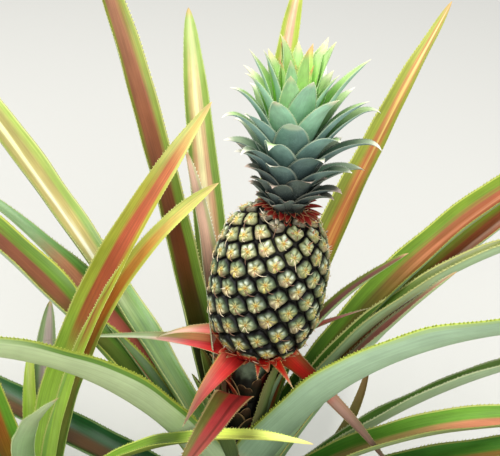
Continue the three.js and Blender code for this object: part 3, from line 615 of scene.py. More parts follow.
    "shoot_leaf_7": dict(green=[(0.06, (90, 150, 40)), (0.4, (122, 160, 48)), (0.6, (120, 148, 54)), (0.76, (206, 222, 92)), (0.95, (240, 250, 140))],
                         stripe=[(0.06, (110, 150, 40)), (0.4, (120, 140, 46)), (0.6, (118, 144, 54)), (0.76, (196, 204, 92)), (0.95, (236, 248, 136))],
                         under=[(0.06, (130, 170, 60)), (0.5, (118, 132, 44)), (0.65, (126, 148, 66)), (0.78, (190, 196, 92)), (0.95, (230, 236, 136))], half=0.3, edge=(226, 238, 120), rough=0.4),
}
SHOOT_PALETTE = dict(
    green=G3((90, 140, 40), (150, 180, 60), (210, 210, 90)), stripe=G3((120, 110, 40), (190, 130, 60), (220, 170, 100)),
    under=G3((176, 204, 140), (200, 216, 150), (220, 220, 150)), edge=(232, 230, 150), tip=(210, 180, 120))
BRACT_PALETTE = dict(
    green=[(0.0, (196, 26, 14)), (0.3, (214, 70, 34)), (0.6, (196, 110, 70)), (0.95, (200, 172, 136))],
    stripe=[(0.0, (176, 10, 6)), (0.35, (206, 28, 18)), (0.65, (196, 66, 52)), (0.95, (196, 160, 130))],
    under=[(0.0, (180, 24, 16)), (0.5, (206, 84, 60)), (0.95, (206, 180, 140))],
    edge=(232, 196, 120), tip=(206, 186, 150), rough=0.6, spec=0.15, half=0.5, soft=0.3)
BRACT_PALETTES = {
    "bract_1": dict(green=[(0.0, (160, 28, 18)), (0.25, (176, 84, 60)), (0.5, (172, 108, 84)), (0.7, (156, 104, 80)), (0.95, (130, 116, 92))],
                    stripe=[(0.0, (160, 10, 8)), (0.3, (186, 44, 40)), (0.5, (184, 74, 70)), (0.72, (152, 78, 68)), (0.95, (126, 108, 90))],
                    half=0.85, offset=0.3, edge=(190, 160, 84)),
    "bract_2": dict(green=[(0.0, (190, 50, 40)), (0.3, (196, 110, 84)), (0.6, (196, 160, 120)), (0.95, (176, 180, 140))],
                    stripe=[(0.0, (190, 40, 36)), (0.35, (206, 110, 100)), (0.65, (226, 180, 160)), (0.95, (200, 196, 170))],
                    under=[(0.0, (196, 50, 40)), (0.5, (214, 140, 124)), (0.95, (200, 196, 170))], edge=(214, 200, 140)),
    "bract_3": dict(green=[(0.0, (170, 24, 20)), (0.10, (176, 60, 36)), (0.2, (190, 130, 84)), (0.32, (150, 136, 80)), (0.45, (150, 166, 120)), (0.95, (150, 170, 136))],
                    stripe=[(0.0, (190, 14, 12)), (0.12, (214, 44, 44)), (0.22, (226, 90, 90)), (0.33, (226, 160, 150)), (0.46, (186, 190, 160)), (0.95, (150, 170, 136))],
                    under=[(0.0, (190, 24, 20)), (0.2, (220, 90, 90)), (0.35, (220, 170, 156)), (0.5, (170, 184, 150)), (0.95, (150, 170, 136))],
                    half=0.55, soft=0.25, offset=0.45, edge=(196, 190, 140)),
    "bract_5": dict(stripe=[(0.0, (176, 10, 6)), (0.45, (214, 34, 20)), (0.75, (206, 84, 60)), (0.95, (206, 180, 150))]),
    "bract_6": dict(green=[(0.0, (150, 30, 16)), (0.12, (140, 66, 26)), (0.28, (170, 60, 36)), (0.42, (164, 124, 100)), (0.7, (140, 116, 92)), (0.95, (120, 106, 84))],
                    stripe=[(0.0, (184, 20, 12)), (0.25, (200, 40, 24)), (0.35, (190, 84, 66)), (0.46, (178, 138, 122)), (0.7, (146, 112, 96)), (0.95, (116, 92, 76))],
                    under=[(0.0, (184, 24, 16)), (0.3, (206, 60, 44)), (0.5, (196, 140, 130)), (0.95, (160, 140, 120))], edge=(190, 170, 120)),
    "bract_7": dict(green=[(0.0, (190, 50, 44)), (0.4, (160, 84, 70)), (0.7, (136, 96, 80)), (0.95, (150, 146, 110))],
                    stripe=[(0.0, (190, 40, 40)), (0.4, (176, 80, 74)), (0.7, (160, 110, 100)), (0.95, (160, 156, 126))],
                    under=[(0.0, (190, 60, 50)), (0.5, (170, 104, 94)), (0.95, (160, 150, 126))], edge=(170, 174, 116)),
}


def merged(base, over):
    out = dict(base)
    out.update(over)
    return out


def red_outline(u):
    return np.maximum(1 - u, 0) ** 0.45 * (0.45 + 0.55 * smooth(u, 0.04, 0.34))


LEAF_SHAPES = {
    "leaf_16": lambda u: long_outline(u) * (1 - 0.52 * smooth(u, 0.36, 0.56)),
    "leaf_04": lambda u: long_outline(u) * (0.6 + 0.4 * smooth(u, 0.44, 0.62)),
    "leaf_15": lambda u: long_outline(u) * (0.8 + 0.2 * smooth(u, 0.36, 0.56)),
    "leaf_17": lambda u: long_outline(u) * (1 - 0.24 * np.exp(-(((u - 0.292) / 0.036) ** 2))),
    "leaf_20": red_outline,
    "shoot_leaf_2": lambda u: long_outline(u) * (1 - 0.2 * smooth(u, 0.2, 0.4) * smooth(u, 0.95, 0.7)),
}

seed = 0
for name, row in ROSETTE.items():
    seed += 1
    pal = merged(BASE_PALETTE, PALETTES.get(name, {}))
    b = Build()
    red = name == "leaf_20"
    start = 13 if red else 26
    add_blade(b, row, (0, 0), start, n=int(row[6] / 7.5), nt=15, teeth=(4.0, 1.25, 2.0), seed=seed,
              outline=LEAF_SHAPES.get(name, long_outline), clasp=0.1 if red else 0.32, thick=1.8 if red else 2.6,
              gutter=0.14 if red else 1.15, loss=-0.3 if red else 0.45, wave=0.35 if red else 0.8)
    ob = b.object(name + "_blade", leaf_material(name, pal, row[6], row[7], seed))
    finish_piece(ob, "bract" if red else "leaf", name)
for name, row in SHOOT_LEAVES.items():
    seed += 1
    pal = merged(SHOOT_PALETTE, PALETTES.get(name, {}))
    b = Build()
    add_blade(b, row, SHOOT, 10, n=int(row[6] / 7), nt=15, teeth=(3.6, 1.15, 1.8), seed=seed, clasp=0.3, thick=2.2,
              outline=LEAF_SHAPES.get(name, long_outline))
    ob = b.object(name + "_blade", leaf_material(name, pal, row[6], row[7], seed))
    finish_piece(ob, "shoot_leaf", name)


def bract_outline(u):
    return np.maximum(1 - u, 0) ** 1.12 * (1 + 0.25 * u)


def slow_outline(u):
    return np.maximum(1 - u, 0) ** 0.62 * (1 - 0.25 * u)


def short_outline(u):
    return np.maximum(1 - u, 0) ** 0.72 * (1 + 0.7 * u) / 1.02


BRACT_SHAPES = {
    "bract_1": lambda u: np.maximum(1 - u, 0) ** 0.95 * (1 + 0.25 * u),
    "bract_3": lambda u: 0.88 * np.maximum(1 - u, 0) ** 3.0 + 0.12 * np.maximum(1 - u, 0) ** 0.6,
    "bract_6": slow_outline,
}


for name, row in BRACTS.items():
    seed += 1
    pal = merged(BRACT_PALETTE, BRACT_PALETTES.get(name, {}))
    b = Build()
    add_blade(b, row, (24, 0), 20, n=44, nt=11, outline=BRACT_SHAPES.get(name, bract_outline), gutter=0.95, loss=0.2, thick=1.2,
              teeth=(3.2, 0.8, 1.5), seed=seed, wave=0.9, clasp=0.25)
    ob = b.object(name + "_blade", leaf_material(name, pal, row[6], row[7], seed))
    finish_piece(ob, "bract", name)


# --------------------------------------------------------------------- fruit
axis = (FRUIT_TOP - FRUIT_BASE) / np.linalg.norm(FRUIT_TOP - FRUIT_BASE)
F_LEN = float(np.linalg.norm(FRUIT_TOP - FRUIT_BASE))
f_e1 = np.cross([0.0, 1.0, 0.0], axis)
f_e1 /= np.linalg.norm(f_e1)
f_e2 = np.cross(axis, f_e1)
PROFILE_H = np.array([-0.03, 0.0, 0.045, 0.15, 0.31, 0.49, 0.66, 0.82, 0.93, 1.0, 1.03])
PROFILE_R = np.array([0.18, 0.36, 0.62, 0.85, 0.975, 1.0, 0.98, 0.875, 0.69, 0.40, 0.2])
_h = np.linspace(-0.03, 1.03, 400)
# smooth the profile with a short running mean
_r = np.interp(_h, PROFILE_H, PROFILE_R)
_k = np.hanning(41)
_k /= _k.sum()
_r = np.convolve(np.pad(_r, 20, mode="edge"), _k, mode="valid")
_s = np.concatenate([[0], np.cumsum(np.hypot(np.diff(_h) * F_LEN, np.diff(_r) * FRUIT_R))])
S_OF_H = lambda h: np.interp(h / F_LEN, _h, _s)
H_OF_S = lambda s: np.interp(s, _s, _h) * F_LEN
R_OF_H = lambda h: np.interp(h / F_LEN, _h, _r) * FRUIT_R


def fruit_point(az, s, z):
    """Point at azimuth az (rad), meridian length s and height z over the surface."""
    h = H_OF_S(s)
    r = R_OF_H(h)
    dh = H_OF_S(s + 0.5) - H_OF_S(s - 0.5)
    dr = R_OF_H(H_OF_S(s + 0.5)) - R_OF_H(H_OF_S(s - 0.5))
    ln = np.hypot(dh, dr) + 1e-9
    nr, nh = dh / ln, -dr / ln
    rr = r + z * nr
    hh = h + z * nh
    return FRUIT_BASE + hh[..., None] * axis + (rr * np.cos(az))[..., None] * f_e1 + (rr * np.sin(az))[..., None] * f_e2


EYE_N = np.arange(0, 190)
EYE_H = -4.58 + 1.098 * EYE_N - 2.347e-3 * (EYE_N - 80) ** 2 + 0.16e-5 * (EYE_N - 80) ** 3
EYE_AZ = np.radians(61.82 + 137.4342 * EYE_N)
keep = (EYE_H > -16) & (EYE_H < F_LEN + 12)
EYE_H, EYE_AZ = EYE_H[keep], EYE_AZ[keep]
# meridian length, carried straight on beyond both ends
EYE_S = S_OF_H(np.clip(EYE_H, 0, F_LEN)) + np.where(EYE_H < 0, EYE_H * 1.3, 0) + np.where(EYE_H > F_LEN, (EYE_H - F_LEN) * 1.6, 0)
SHOWN = [i for i in range(len(EYE_H)) if 9.5 < EYE_H[i] < F_LEN + 1.5]


def mixc(a, b, t):
    t = np.asarray(t)[..., None]
    return a * (1 - t) + b * t


rgb = lambda *c: np.array(lin(c))
rng = np.random.default_rng(11)
b = Build(names=("rim", "rnd"))
tints = []
eye_count = len(SHOWN)
cells = 13
NA, NR = 48, 14
threads = Build(names=("along", "rnd"))
spikes = Build(names=("along", "rnd"))
th = np.linspace(0, 2 * np.pi, NA, endpoint=False)
for k, eye in enumerate(SHOWN):
    az0, s0, h0 = EYE_AZ[eye], EYE_S[eye], EYE_H[eye]
    r0 = R_OF_H(h0)
    hf = h0 / F_LEN
    da = (EYE_AZ - az0 + np.pi) % (2 * np.pi) - np.pi
    vx, vy = da * r0, EYE_S - s0
    d2 = np.hypot(vx, vy)
    near = (d2 > 0.1) & (d2 < 48)
    nx, ny, nd = vx[near], vy[near], d2[near]
    # the middle of the flower sits a little under the middle of its cell
    cx0, cy0 = rng.uniform(-0.6, 0.6), -1.7 + rng.uniform(-0.5, 0.5)
    dirx, diry = np.cos(th), np.sin(th)
    proj = (dirx[:, None] * nx[None] + diry[:, None] * ny[None]) / nd[None]
    gap = nd[None] / 2 - (cx0 * nx + cy0 * ny)[None] / nd[None]
    lim = np.where(proj > 0.05, gap / np.maximum(proj, 1e-3), 1e3)
    lim = np.clip(lim, 0.5, 60)
    rho = (np.sum(lim ** -12.0, 1)) ** (-1 / 12.0)
    rho = np.minimum(rho, 14.5)
    up = np.clip(diry, 0, 1)
    dn = np.clip(-diry, 0, 1)
    rho = rho * (0.985 - 0.085 * up**2 + 0.01 * dn)
    rho = rho * (1 + 0.03 * np.cos(6 * (th - np.pi / 2) + rng.uniform(-0.5, 0.5)) * up + 0.012 * np.cos(9 * th + rng.uniform(0, 6)))
    q = (np.arange(NR + 1) / NR) ** 0.85
    Q, TH = np.meshgrid(q, th, indexing="ij")
    RR = Q * rho[None]
    X = cx0 + RR * np.cos(TH)
    Y = cy0 + RR * np.sin(TH)
    UP = np.clip(np.sin(TH), 0, 1)
    DN = np.clip(-np.sin(TH), 0, 1)
    # relief: flat-topped dome, lobes of the sepals above, ribbed bract below, raised middle
    ph = rng.uniform(-0.35, 0.35)
    lobe = 0.5 + 0.5 * np.cos(5.2 * (TH - np.pi / 2) + ph)
    petal = np.array([rng.uniform(0.25, 1.1) for _ in range(6)])[(np.floor((5.2 * (TH - np.pi / 2) + ph) / (2 * np.pi) + 0.5).astype(int)) % 6]
    rib_n = rng.integers(6, 9)
    rib = 0.5 + 0.5 * np.cos(2 * rib_n * (TH + np.pi / 2) / 2 + rng.uniform(-0.4, 0.4))
    rib = rib * (0.72 + 0.28 * np.sin(2.0 * TH + rng.uniform(0, 6.28)))
    dome = np.maximum(1 - Q ** 6.5, 0) ** 0.6
    Z = -4.7 + 5.3 * dome
    Z += 1.0 * (lobe - 0.4) * UP ** 0.5 * np.exp(-((Q - 0.58) / 0.26) ** 2)
    Z += (1.1 + 0.7 * (rib - 0.5)) * DN * np.exp(-((Q - 0.66) / 0.3) ** 2)
    Z += 0.75 * np.exp(-((Q - 0.12) / 0.10) ** 2) - 0.8 * np.exp(-((Q - 0.27) / 0.07) ** 2) * (0.5 + 0.5 * UP)
    Z += rng.normal(0, 0.16, Q.shape) * (Q < 0.9)
    Z += 0.5 * np.sin(3.1 * TH + rng.uniform(0, 6)) * Q * (1 - Q) * 2
    P = fruit_point(az0 + X / r0, s0 + Y, Z)
    # colour
    low_t = float(smooth(hf, 0.46, 0.08))
    high_t = float(smooth(hf, 0.62, 0.92))
    var = rng.uniform(-1, 1)
    base = mixc(rgb(94, 112, 80), rgb(40, 56, 36), np.full(Q.shape, np.clip(0.65 * low_t + 0.2 * var, 0, 1)))
    base = mixc(base, rgb(176, 170, 104), np.full(Q.shape, 0.55 * high_t))
    white = rgb(232, 244, 220) if var > -0.2 else rgb(176, 194, 158)
    lobe_amt = (0.15 + 0.85 * lobe) * np.exp(-((Q - 0.47) / 0.21) ** 2) * np.clip(np.sin(TH) + 0.45, 0, 1)
    c = mixc(base, white, np.clip(lobe_amt * petal * (1.3 - 0.2 * low_t), 0, 1))
    # thin dark creases between the lobes: painted shade
    crease = np.clip(1 - lobe * 3.2, 0, 1) * np.exp(-((Q - 0.5) / 0.24) ** 2) * np.clip(np.sin(TH) + 0.2, 0, 1)
    c = mixc(c, rgb(62, 74, 50), np.clip(crease * 0.95, 0, 0.9))
    # the bract below: cream rays with pink-brown between them
    fan = np.clip(0.35 - np.sin(TH), 0, 1) * smooth(Q, 0.08, 0.2) * smooth(Q, 0.94, 0.7)
    c = mixc(c, rgb(176, 150, 116) if rng.uniform() < 0.45 else rgb(150, 152, 104), np.clip(fan * 0.75, 0, 0.8))
    ray = rib ** 2.6 * np.clip(0.45 - np.sin(TH), 0, 1) * smooth(Q, 0.06, 0.2) * smooth(Q, 0.97, 0.62)
    c = mixc(c, rgb(240, 232, 184) if rng.uniform() < 0.55 else rgb(224, 208, 112), np.clip(ray * 1.15, 0, 1))
    side_ray = (0.5 + 0.5 * np.cos(8 * TH + rng.uniform(0, 6))) ** 3 * np.exp(-((Q - 0.3) / 0.16) ** 2)
    c = mixc(c, rgb(240, 236, 160), np.clip(side_ray * 0.7, 0, 0.8))
    c = mixc(c, rgb(232, 190, 70), np.exp(-(Q / 0.20) ** 2) * (0.85 if rng.uniform() < 0.8 else 0.5))
    if rng.uniform() < 0.85:
        c = mixc(c, rgb(176, 92, 30), np.exp(-(((X - cx0 + rng.uniform(-0.5, 0.5)) ** 2 + (Y - cy0 + rng.uniform(-0.8, 0.3)) ** 2) / 0.9)) * 0.75)
    # painted shade: a green-grey shoulder darkens each eye towards its edge, more on its upper side and on the lower
    # rows; then the black rim of the groove, wide above and thin below, widened above by painted shade under the eye
    # above
    c = mixc(c, rgb(24, 34, 20), smooth(Q, 0.50 - 0.10 * low_t, 0.82 - 0.08 * low_t) * np.clip(0.52 + 0.36 * low_t + 0.25 * UP, 0, 1) * (1 - 0.45 * high_t))
    lip = np.exp(-((Q - 0.84) / 0.045) ** 2) * np.clip(-np.sin(TH) * 1.6 - 0.2, 0, 1) * (0.5 + 0.5 * np.cos(3 * TH + rng.uniform(0, 6)))
    c = mixc(c, rgb(232, 212, 176), np.clip(lip * 0.9, 0, 0.85))
    # black rim: the groove's dark colour, widened on the upper side by painted shade
    rim = smooth(Q, 0.83 - 0.08 * low_t - (0.10 + 0.14 * low_t) * UP, 0.94 - 0.04 * low_t - 0.09 * UP)
    c = mixc(c, rgb(9, 7, 7), rim)
    if h0 > F_LEN - 4:
        # withered eyes right under the crown
        c = mixc(c, mixc(rgb(84, 76, 68), rgb(176, 164, 140), lobe * np.exp(-((Q - 0.45) / 0.2) ** 2)), (1 - rim) * 0.8)
    first = b.verts(P, rim=rim, rnd=rng.uniform())
    tints.append(np.clip(c, 0, 1).reshape(-1, 4))
    cx, cy = (k % cells) / cells, (k // cells) / cells
    # chart: the disc of the eye
    ux = cx + (0.5 + 0.47 * Q * np.cos(TH)) / cells
    uy = cy + (0.5 + 0.47 * Q * np.sin(TH)) / cells
    i, j = np.meshgrid(np.arange(1, NR), np.arange(NA), indexing="ij")
    i, j = i.ravel(), j.ravel()
    j2 = (j + 1) % NA
    V = lambda a, c_: first + a * NA + c_
    b.quads(np.stack([V(i, j), V(i + 1, j), V(i + 1, j2), V(i, j2)], -1),
            np.stack([np.stack([ux[i, j], uy[i, j]], -1), np.stack([ux[i + 1, j], uy[i + 1, j]], -1),
                      np.stack([ux[i + 1, j2], uy[i + 1, j2]], -1), np.stack([ux[i, j2], uy[i, j2]], -1)], 1))
    jj = np.arange(NA)
    j2 = (jj + 1) % NA
    z0 = np.zeros(NA, int)
    b.tris(np.stack([V(z0, z0), V(z0 + 1, jj), V(z0 + 1, j2)], -1),
           np.stack([np.stack([ux[z0, z0], uy[z0, z0]], -1), np.stack([ux[z0 + 1, jj], uy[z0 + 1, jj]], -1),
                     np.stack([ux[z0 + 1, j2], uy[z0 + 1, j2]], -1)], 1))
    # dried thread of the bract, and the little sepal tips
    def tube(target, pts, radii, rnd, sides=5):
        pts = np.asarray(pts, float)
        t_ = np.gradient(pts, axis=0)
        t_ /= np.linalg.norm(t_, axis=1)[:, None] + 1e-9
        ref = np.array([0.31, 0.52, 0.79])
        a_ = np.cross(t_, ref)
        a_ /= np.linalg.norm(a_, axis=1)[:, None] + 1e-9
        b_ = np.cross(t_, a_)
        ang = np.linspace(0, 2 * np.pi, sides, endpoint=False)
        ring = pts[:, None] + (np.cos(ang)[None, :, None] * a_[:, None] + np.sin(ang)[None, :, None] * b_[:, None]) * np.asarray(radii)[:, None, None]
        m_ = len(pts)
        al = np.repeat(np.linspace(0, 1, m_), sides)
        f_ = target.verts(ring, along=al, rnd=rnd)
        ii, jj_ = np.meshgrid(np.arange(m_ - 1), np.arange(sides), indexing="ij")
        ii, jj_ = ii.ravel(), jj_.ravel()
        jn = (jj_ + 1) % sides
        W = lambda a, c_: f_ + a * sides + c_
        uvq = lambda a, c_: np.stack([0.05 + 0.9 * c_ / sides, 0.05 + 0.9 * a / (m_ - 1)], -1)
        target.quads(np.stack([W(ii, jj_), W(ii, jn), W(ii + 1, jn), W(ii + 1, jj_)], -1),
                     np.stack([uvq(ii, jj_), uvq(ii, jj_ + 1), uvq(ii + 1, jj_ + 1), uvq(ii + 1, jj_)], 1))
        for row_, rev in ((0, True), (m_ - 1, False)):
            for c_ in range(1, sides - 1):
                tri = [W(row_, 0), W(row_, c_), W(row_, c_ + 1)]
                if rev:
                    tri = tri[::-1]
                target.tris([tri], [[(0.96, 0.05), (0.99, 0.05), (0.99, 0.08)]])

    long_ = rng.uniform(4.5, 12.5) * (0.85 if hf > 0.75 else 1.0)
    if hf > 0.8:
        ang0 = rng.uniform(-2.4, -0.4)
    else:
        ang0 = rng.normal(-0.32, 0.16) if rng.uniform() < 0.8 else rng.normal(-1.5, 0.6)
    t8 = np.linspace(0, 1, 8)
    px = 0.3 + long_ * t8 * math.cos(ang0)
    py = -4.4 + long_ * t8 * math.sin(ang0) - 1.6 * np.sin(np.pi * t8) * 0.8
    lift = rng.uniform(-0.6, 2.2)
    pz = 1.0 + 1.0 * np.sin(np.pi * t8 * 0.9) + lift * t8 ** 2
    tube(threads, fruit_point(az0 + px / r0, s0 + py, pz), 0.36 * (1 - 0.7 * t8) + 0.10, rng.uniform())
    for m_ in range(3 if hf > 0.78 else (2 if hf < 0.12 else (1 if rng.uniform() < 0.5 else 0))):
        # dry tips that stand off the fruit
        a0 = rng.uniform(-2.6, -0.5) if hf < 0.78 else rng.uniform(-3.1, 3.1)
        t5 = np.linspace(0, 1, 5)
        rad = 2.5 + rng.uniform(1.5, 4.0) * t5
        out_ = rng.uniform(2.5, 5.5)
        tube(spikes, fruit_point(az0 + rad * math.cos(a0) / r0, s0 - 1.5 + rad * math.sin(a0), -0.2 + out_ * t5 ** 1.3),
             (0.95 if hf > 0.78 else 0.6) * (1 - t5) + 0.08, 2.0 + rng.uniform(), sides=5)
    for m_ in range(3):
        a0 = math.pi / 2 + m_ * 2.094 + rng.uniform(-0.4, 0.4)
        t4 = np.linspace(0, 1, 4)
        rad = 0.9 + 0.9 * t4
        tube(spikes, fruit_point(az0 + (cx0 + rad * math.cos(a0)) / r0, s0 + cy0 + rad * math.sin(a0), 0.3 + (1.2 + rng.uniform(0, 0.8)) * t4),
             0.6 * (1 - t4) + 0.1, rng.uniform(), sides=5)

m = Mat("mat_fruit_eyes", specular=0.25)
tint = m.attr("tint", True)
co = m.coords()
n1 = m.noise(co, 420.0, 3.0, 0.6)
n2 = m.noise(co, 1300.0, 2.0, 0.6)
c = m.scale(tint, m.smooth(n1, 0.3, 0.7, 0.78, 1.15))
c = m.scale(c, m.smooth(n2, 0.3, 0.7, 0.88, 1.1))
c = m.mix(m.smooth(n2, 0.66, 0.8, 0.0, 0.35), c, lin((120, 86, 50)))
m.colour(c)
m.rough(m.math("ADD", 0.42, m.math("MULTIPLY", n1, 0.2)))
m.bump(m.math("ADD", n1, m.math("MULTIPLY", n2, 0.5)), 0.35, 0.0006)
ob = b.object("fruit_eyes", m.m, colours=tints)
finish_piece(ob, "fruit", "fruit")

m = Mat("mat_fruit_thread", specular=0.3)
al, rn = m.attr("along"), m.attr("rnd")
c = m.mix(al, lin((232, 206, 160)), lin((242, 226, 196)))
c = m.mix(m.smooth(rn, 0.5, 0.62, 0.0, 0.85), c, lin((110, 56, 40)))
n1 = m.noise(m.coords(), 900.0, 2.0)
c = m.scale(c, m.smooth(n1, 0.3, 0.7, 0.75, 1.15))
m.colour(c)
m.rough(0.7)
ob = threads.object("fruit_threads", m.m)
finish_piece(ob, "fruit")
m = Mat("mat_fruit_sepal", specular=0.35)
al, rn = m.attr("along"), m.attr("rnd")
c = m.mix(al, lin((222, 196, 96)), lin((240, 232, 190)))
c = m.mix(m.smooth(rn, 2.05, 2.35, 0.0, 0.8), c, lin((196, 120, 96)))
c = m.mix(m.smooth(rn, 2.45, 2.75, 0.0, 0.9), c, lin((240, 232, 206)))
n1 = m.noise(m.coords(), 900.0, 2.0)
c = m.scale(c, m.smooth(n1, 0.3, 0.7, 0.75, 1.1))
m.colour(c)
m.rough(0.6)
ob = spikes.object("fruit_sepals", m.m)
finish_piece(ob, "fruit")

# near-black sheet between the eyes: the dark groove with painted shade in it
b = Build(names=("rim", "rnd"))
na, ns = 120, 70
sv = np.linspace(float(S_OF_H(6.0)), _s[-1] - 0.2, ns)
av = np.linspace(0, 2 * np.pi, na, endpoint=False)
S_, A_ = np.meshgrid(sv, av, indexing="ij")
Zb = -3.9 + 0.3 * np.sin(9 * A_ + S_ * 0.3)
P = fruit_point(A_, S_, Zb)
first = b.verts(P)
i, j = np.meshgrid(np.arange(ns - 1), np.arange(na), indexing="ij")
i, j = i.ravel(), j.ravel()
j2 = (j + 1) % na
V = lambda a, c_: first + a * na + c_
uvq = lambda a, c_: np.stack([0.01 + 0.98 * c_ / na, 0.02 + 0.96 * a / (ns - 1)], -1)
b.quads(np.stack([V(i, j), V(i, j2), V(i + 1, j2), V(i + 1, j)], -1), np.stack([uvq(i, j), uvq(i, j + 1), uvq(i + 1, j + 1), uvq(i + 1, j)], 1))
for row_, rev in ((0, True), (ns - 1, False)):
    cc = b.verts(P[row_].mean(0)[None])
    for c_ in range(na):
        tri = [cc, V(row_, c_), V(row_, (c_ + 1) % na)]
        if rev:
            tri = tri[::-1]
        vv = 0.005 if rev else 0.985
        b.tris([tri], [[(0.01 + 0.98 * c_ / na, vv), (0.01 + 0.98 * (c_ + 1) / na, vv), (0.01 + 0.98 * (c_ + 0.5) / na, vv + 0.01)]])
m = Mat("mat_fruit_groove_shade", specular=0.3)
n1 = m.noise(m.coords(), 300.0, 3.0)
# near-black: the groove's dark colour and painted shade
m.colour(m.mix(n1, lin((10, 9, 7)), lin((34, 30, 20))))
m.rough(0.7)
m.bump(n1, 0.4, 0.001)
ob = b.object("fruit_body", m.m)
finish_piece(ob, "fruit")


# --------------------------------------------------------------------- crown
c_axis = (CROWN_TOP - CROWN_BASE) / np.linalg.norm(CROWN_TOP - CROWN_BASE)


def turn_to(axis_):
    z = np.array([0.0, 0.0, 1.0])
    v = np.cross(z, axis_)
    c = float(z @ axis_)
    k = np.array([[0, -v[2], v[1]], [v[2], 0, -v[0]], [-v[1], v[0], 0]])
    return np.eye(3) + k + k @ k / (1 + c)


C_TURN = turn_to(c_axis)


def crown_outline(u):
    return np.maximum((1 - u), 0) ** 0.96 * (1 + 2.15 * u) / 1.10


def blunt_outline(u):
    return np.maximum(1 - u**2.6, 0) ** 0.7 * (0.9 + 0.18 * np.sin(np.pi * u))


# leaves of the crown that show from the front: azimuth, height on the axis, first
# elevation, bend, sideways sweep, length, half width
CROWN_FRONT = [
    (-110.6, 8, 60.1, 50.6, 4.9, 55.5, 11),
    (-69.3, 10, 61.8, 51.6, -9, 60.6, 12),
    (-110, 17, 61.6, 50.3, 2.9, 75.6, 12.5),
    (-66.7, 21, 63.5, 50.7, -3.4, 81, 13.5),
    (-44.4, 15, 54.3, 47, -6.1, 80.6, 12),
    (-51.8, 29, 66.2, 46.6, -7.5, 87.5, 14),
    (-113.5, 29, 63.5, 45.2, 7.8, 86.4, 14),
    (-93.6, 37, 74, 46, -2, 82, 15.5, 1),
    (-55.3, 45, 70.7, 36.3, -1, 99.1, 14.5),
    (-117.3, 45, 73.9, 40.9, 11.6, 93.5, 14),
    (-74.7, 53, 79.2, 34.1, -0.5, 95.7, 14),
    (-102.9, 56, 78.5, 28.5, 3.9, 95.1, 12),
    (-113.4, 65, 88, 21.1, 3.3, 86.8, 9),
    (-73.6, 70, 85, 13.7, 1, 91.8, 8),
    (86.3, 72, 74, 9.6, -3.9, 76.6, 8),
    (149.8, 60, 88.7, 10.8, -0.1, 105.2, 12),
    (55.5, 58, 73, 20.6, 0.4, 105, 12.5),
    (19.6, 60, 81.6, 20.6, -0.3, 103, 13),
    (-13.4, 52, 81.1, 29.5, 0.4, 89.4, 11),
    (4.8, 48, 70.5, 28.3, -0.2, 114.8, 14.5),
    (-12.5, 35, 69.3, 40.4, -0.4, 99.1, 13.5),
    (3.4, 33, 62.5, 43.2, -0.5, 101.1, 13),
    (-17.2, 25, 57.6, 59, -4.1, 96.7, 12.5),
    (26.1, 16, 23.1, 55.1, 12.9, 79.3, 11),
    (-37.1, 6, 50, 46.8, -4.7, 55.9, 10.5),
    (-44.8, 4, 48.2, 45.1, -0.5, 49.8, 10),
    (182.6, 54, 84.7, 22.6, 0.4, 101.2, 12.5),
    (163.8, 48, 80.2, 29.2, 0.6, 107.4, 13),
    (-159.1, 46, 78.1, 30.5, 0.7, 100.2, 13),
    (187, 38, 74.8, 40.5, 2.3, 97.5, 13.5),
    (-162.7, 30, 69.5, 49.2, 4.2, 95.3, 12.5),
    (-145.1, 34, 72.3, 43.9, 3.7, 86.3, 12.5),
    (181.9, 22, 67.6, 72.2, 11.3, 73, 11.5),
    (-141.7, 22, 64.9, 52.5, 6.1, 74.6, 12),
    (205.1, 16, 67.5, 58.7, 11.3, 72.7, 11),
    (-143.5, 10, 65.9, 53.7, 8.8, 63.7, 10.5),
    (-140.6, 5, 64.9, 50.3, 6.2, 53.7, 10),
]


def crown_rule(k):
    """height on the axis, elevation, bend, length, half width of crown leaf k (0 low, 1 high)."""
    along = 2 + 74 * k
    elev = 50 + 34 * k**0.8
    bend = 54 - 42 * k
    length = 112 - 60 * (1 - k) ** 2.6 - 26 * k * k
    half = 10.0 + 5.0 * math.sin(math.pi * min(1, 0.10 + 0.8 * k))
    return along, elev, bend, length, half


rng = np.random.default_rng(5)
crown_rows = [(*r[:7], 0.0, 0.0, 4 if len(r) > 7 else 0) for r in CROWN_FRONT]
# the rest of the spiral: the back, the low foot and the folded heart
for n_ in range(76):
    k = n_ / 75
    az = (23.0 - GOLDEN * n_) % 360
    along, elev, bend, length, half = crown_rule(k)
    back = 24 < az < 156
    if not back:
        continue
    crown_rows.append((az + rng.uniform(-5, 5), along, elev + rng.uniform(-4, 4), bend, rng.uniform(-8, 8), length * rng.uniform(0.9, 1.05),
                       half * rng.uniform(0.92, 1.05), 0.0, 0.0, 1))
for n_ in range(15):
    az = (n_ * GOLDEN * -1 + 10) % 360
    crown_rows.append((az, 3.5 - 0.12 * n_, 60 - 1.2 * n_, 30, rng.uniform(-10, 10), 34 - 0.5 * n_, 8.0, 0.0, 0.0, 2))
for n_ in range(10):
    az = (n_ * GOLDEN * -1 + 200) % 360
    crown_rows.append((az, 73 + 0.9 * n_, 84, 8, rng.uniform(-6, 6), 76 - 3.2 * n_, 7.0 - 0.25 * n_, 0.0, 0.0, 3))
tiers = [Build(names=("across", "along", "under", "rnd", "rank")) for _ in range(6)]
members = [[] for _ in range(6)]
for r in crown_rows:
    members[int(np.clip(r[1] / 84 * 6, 0, 5))].append(r)
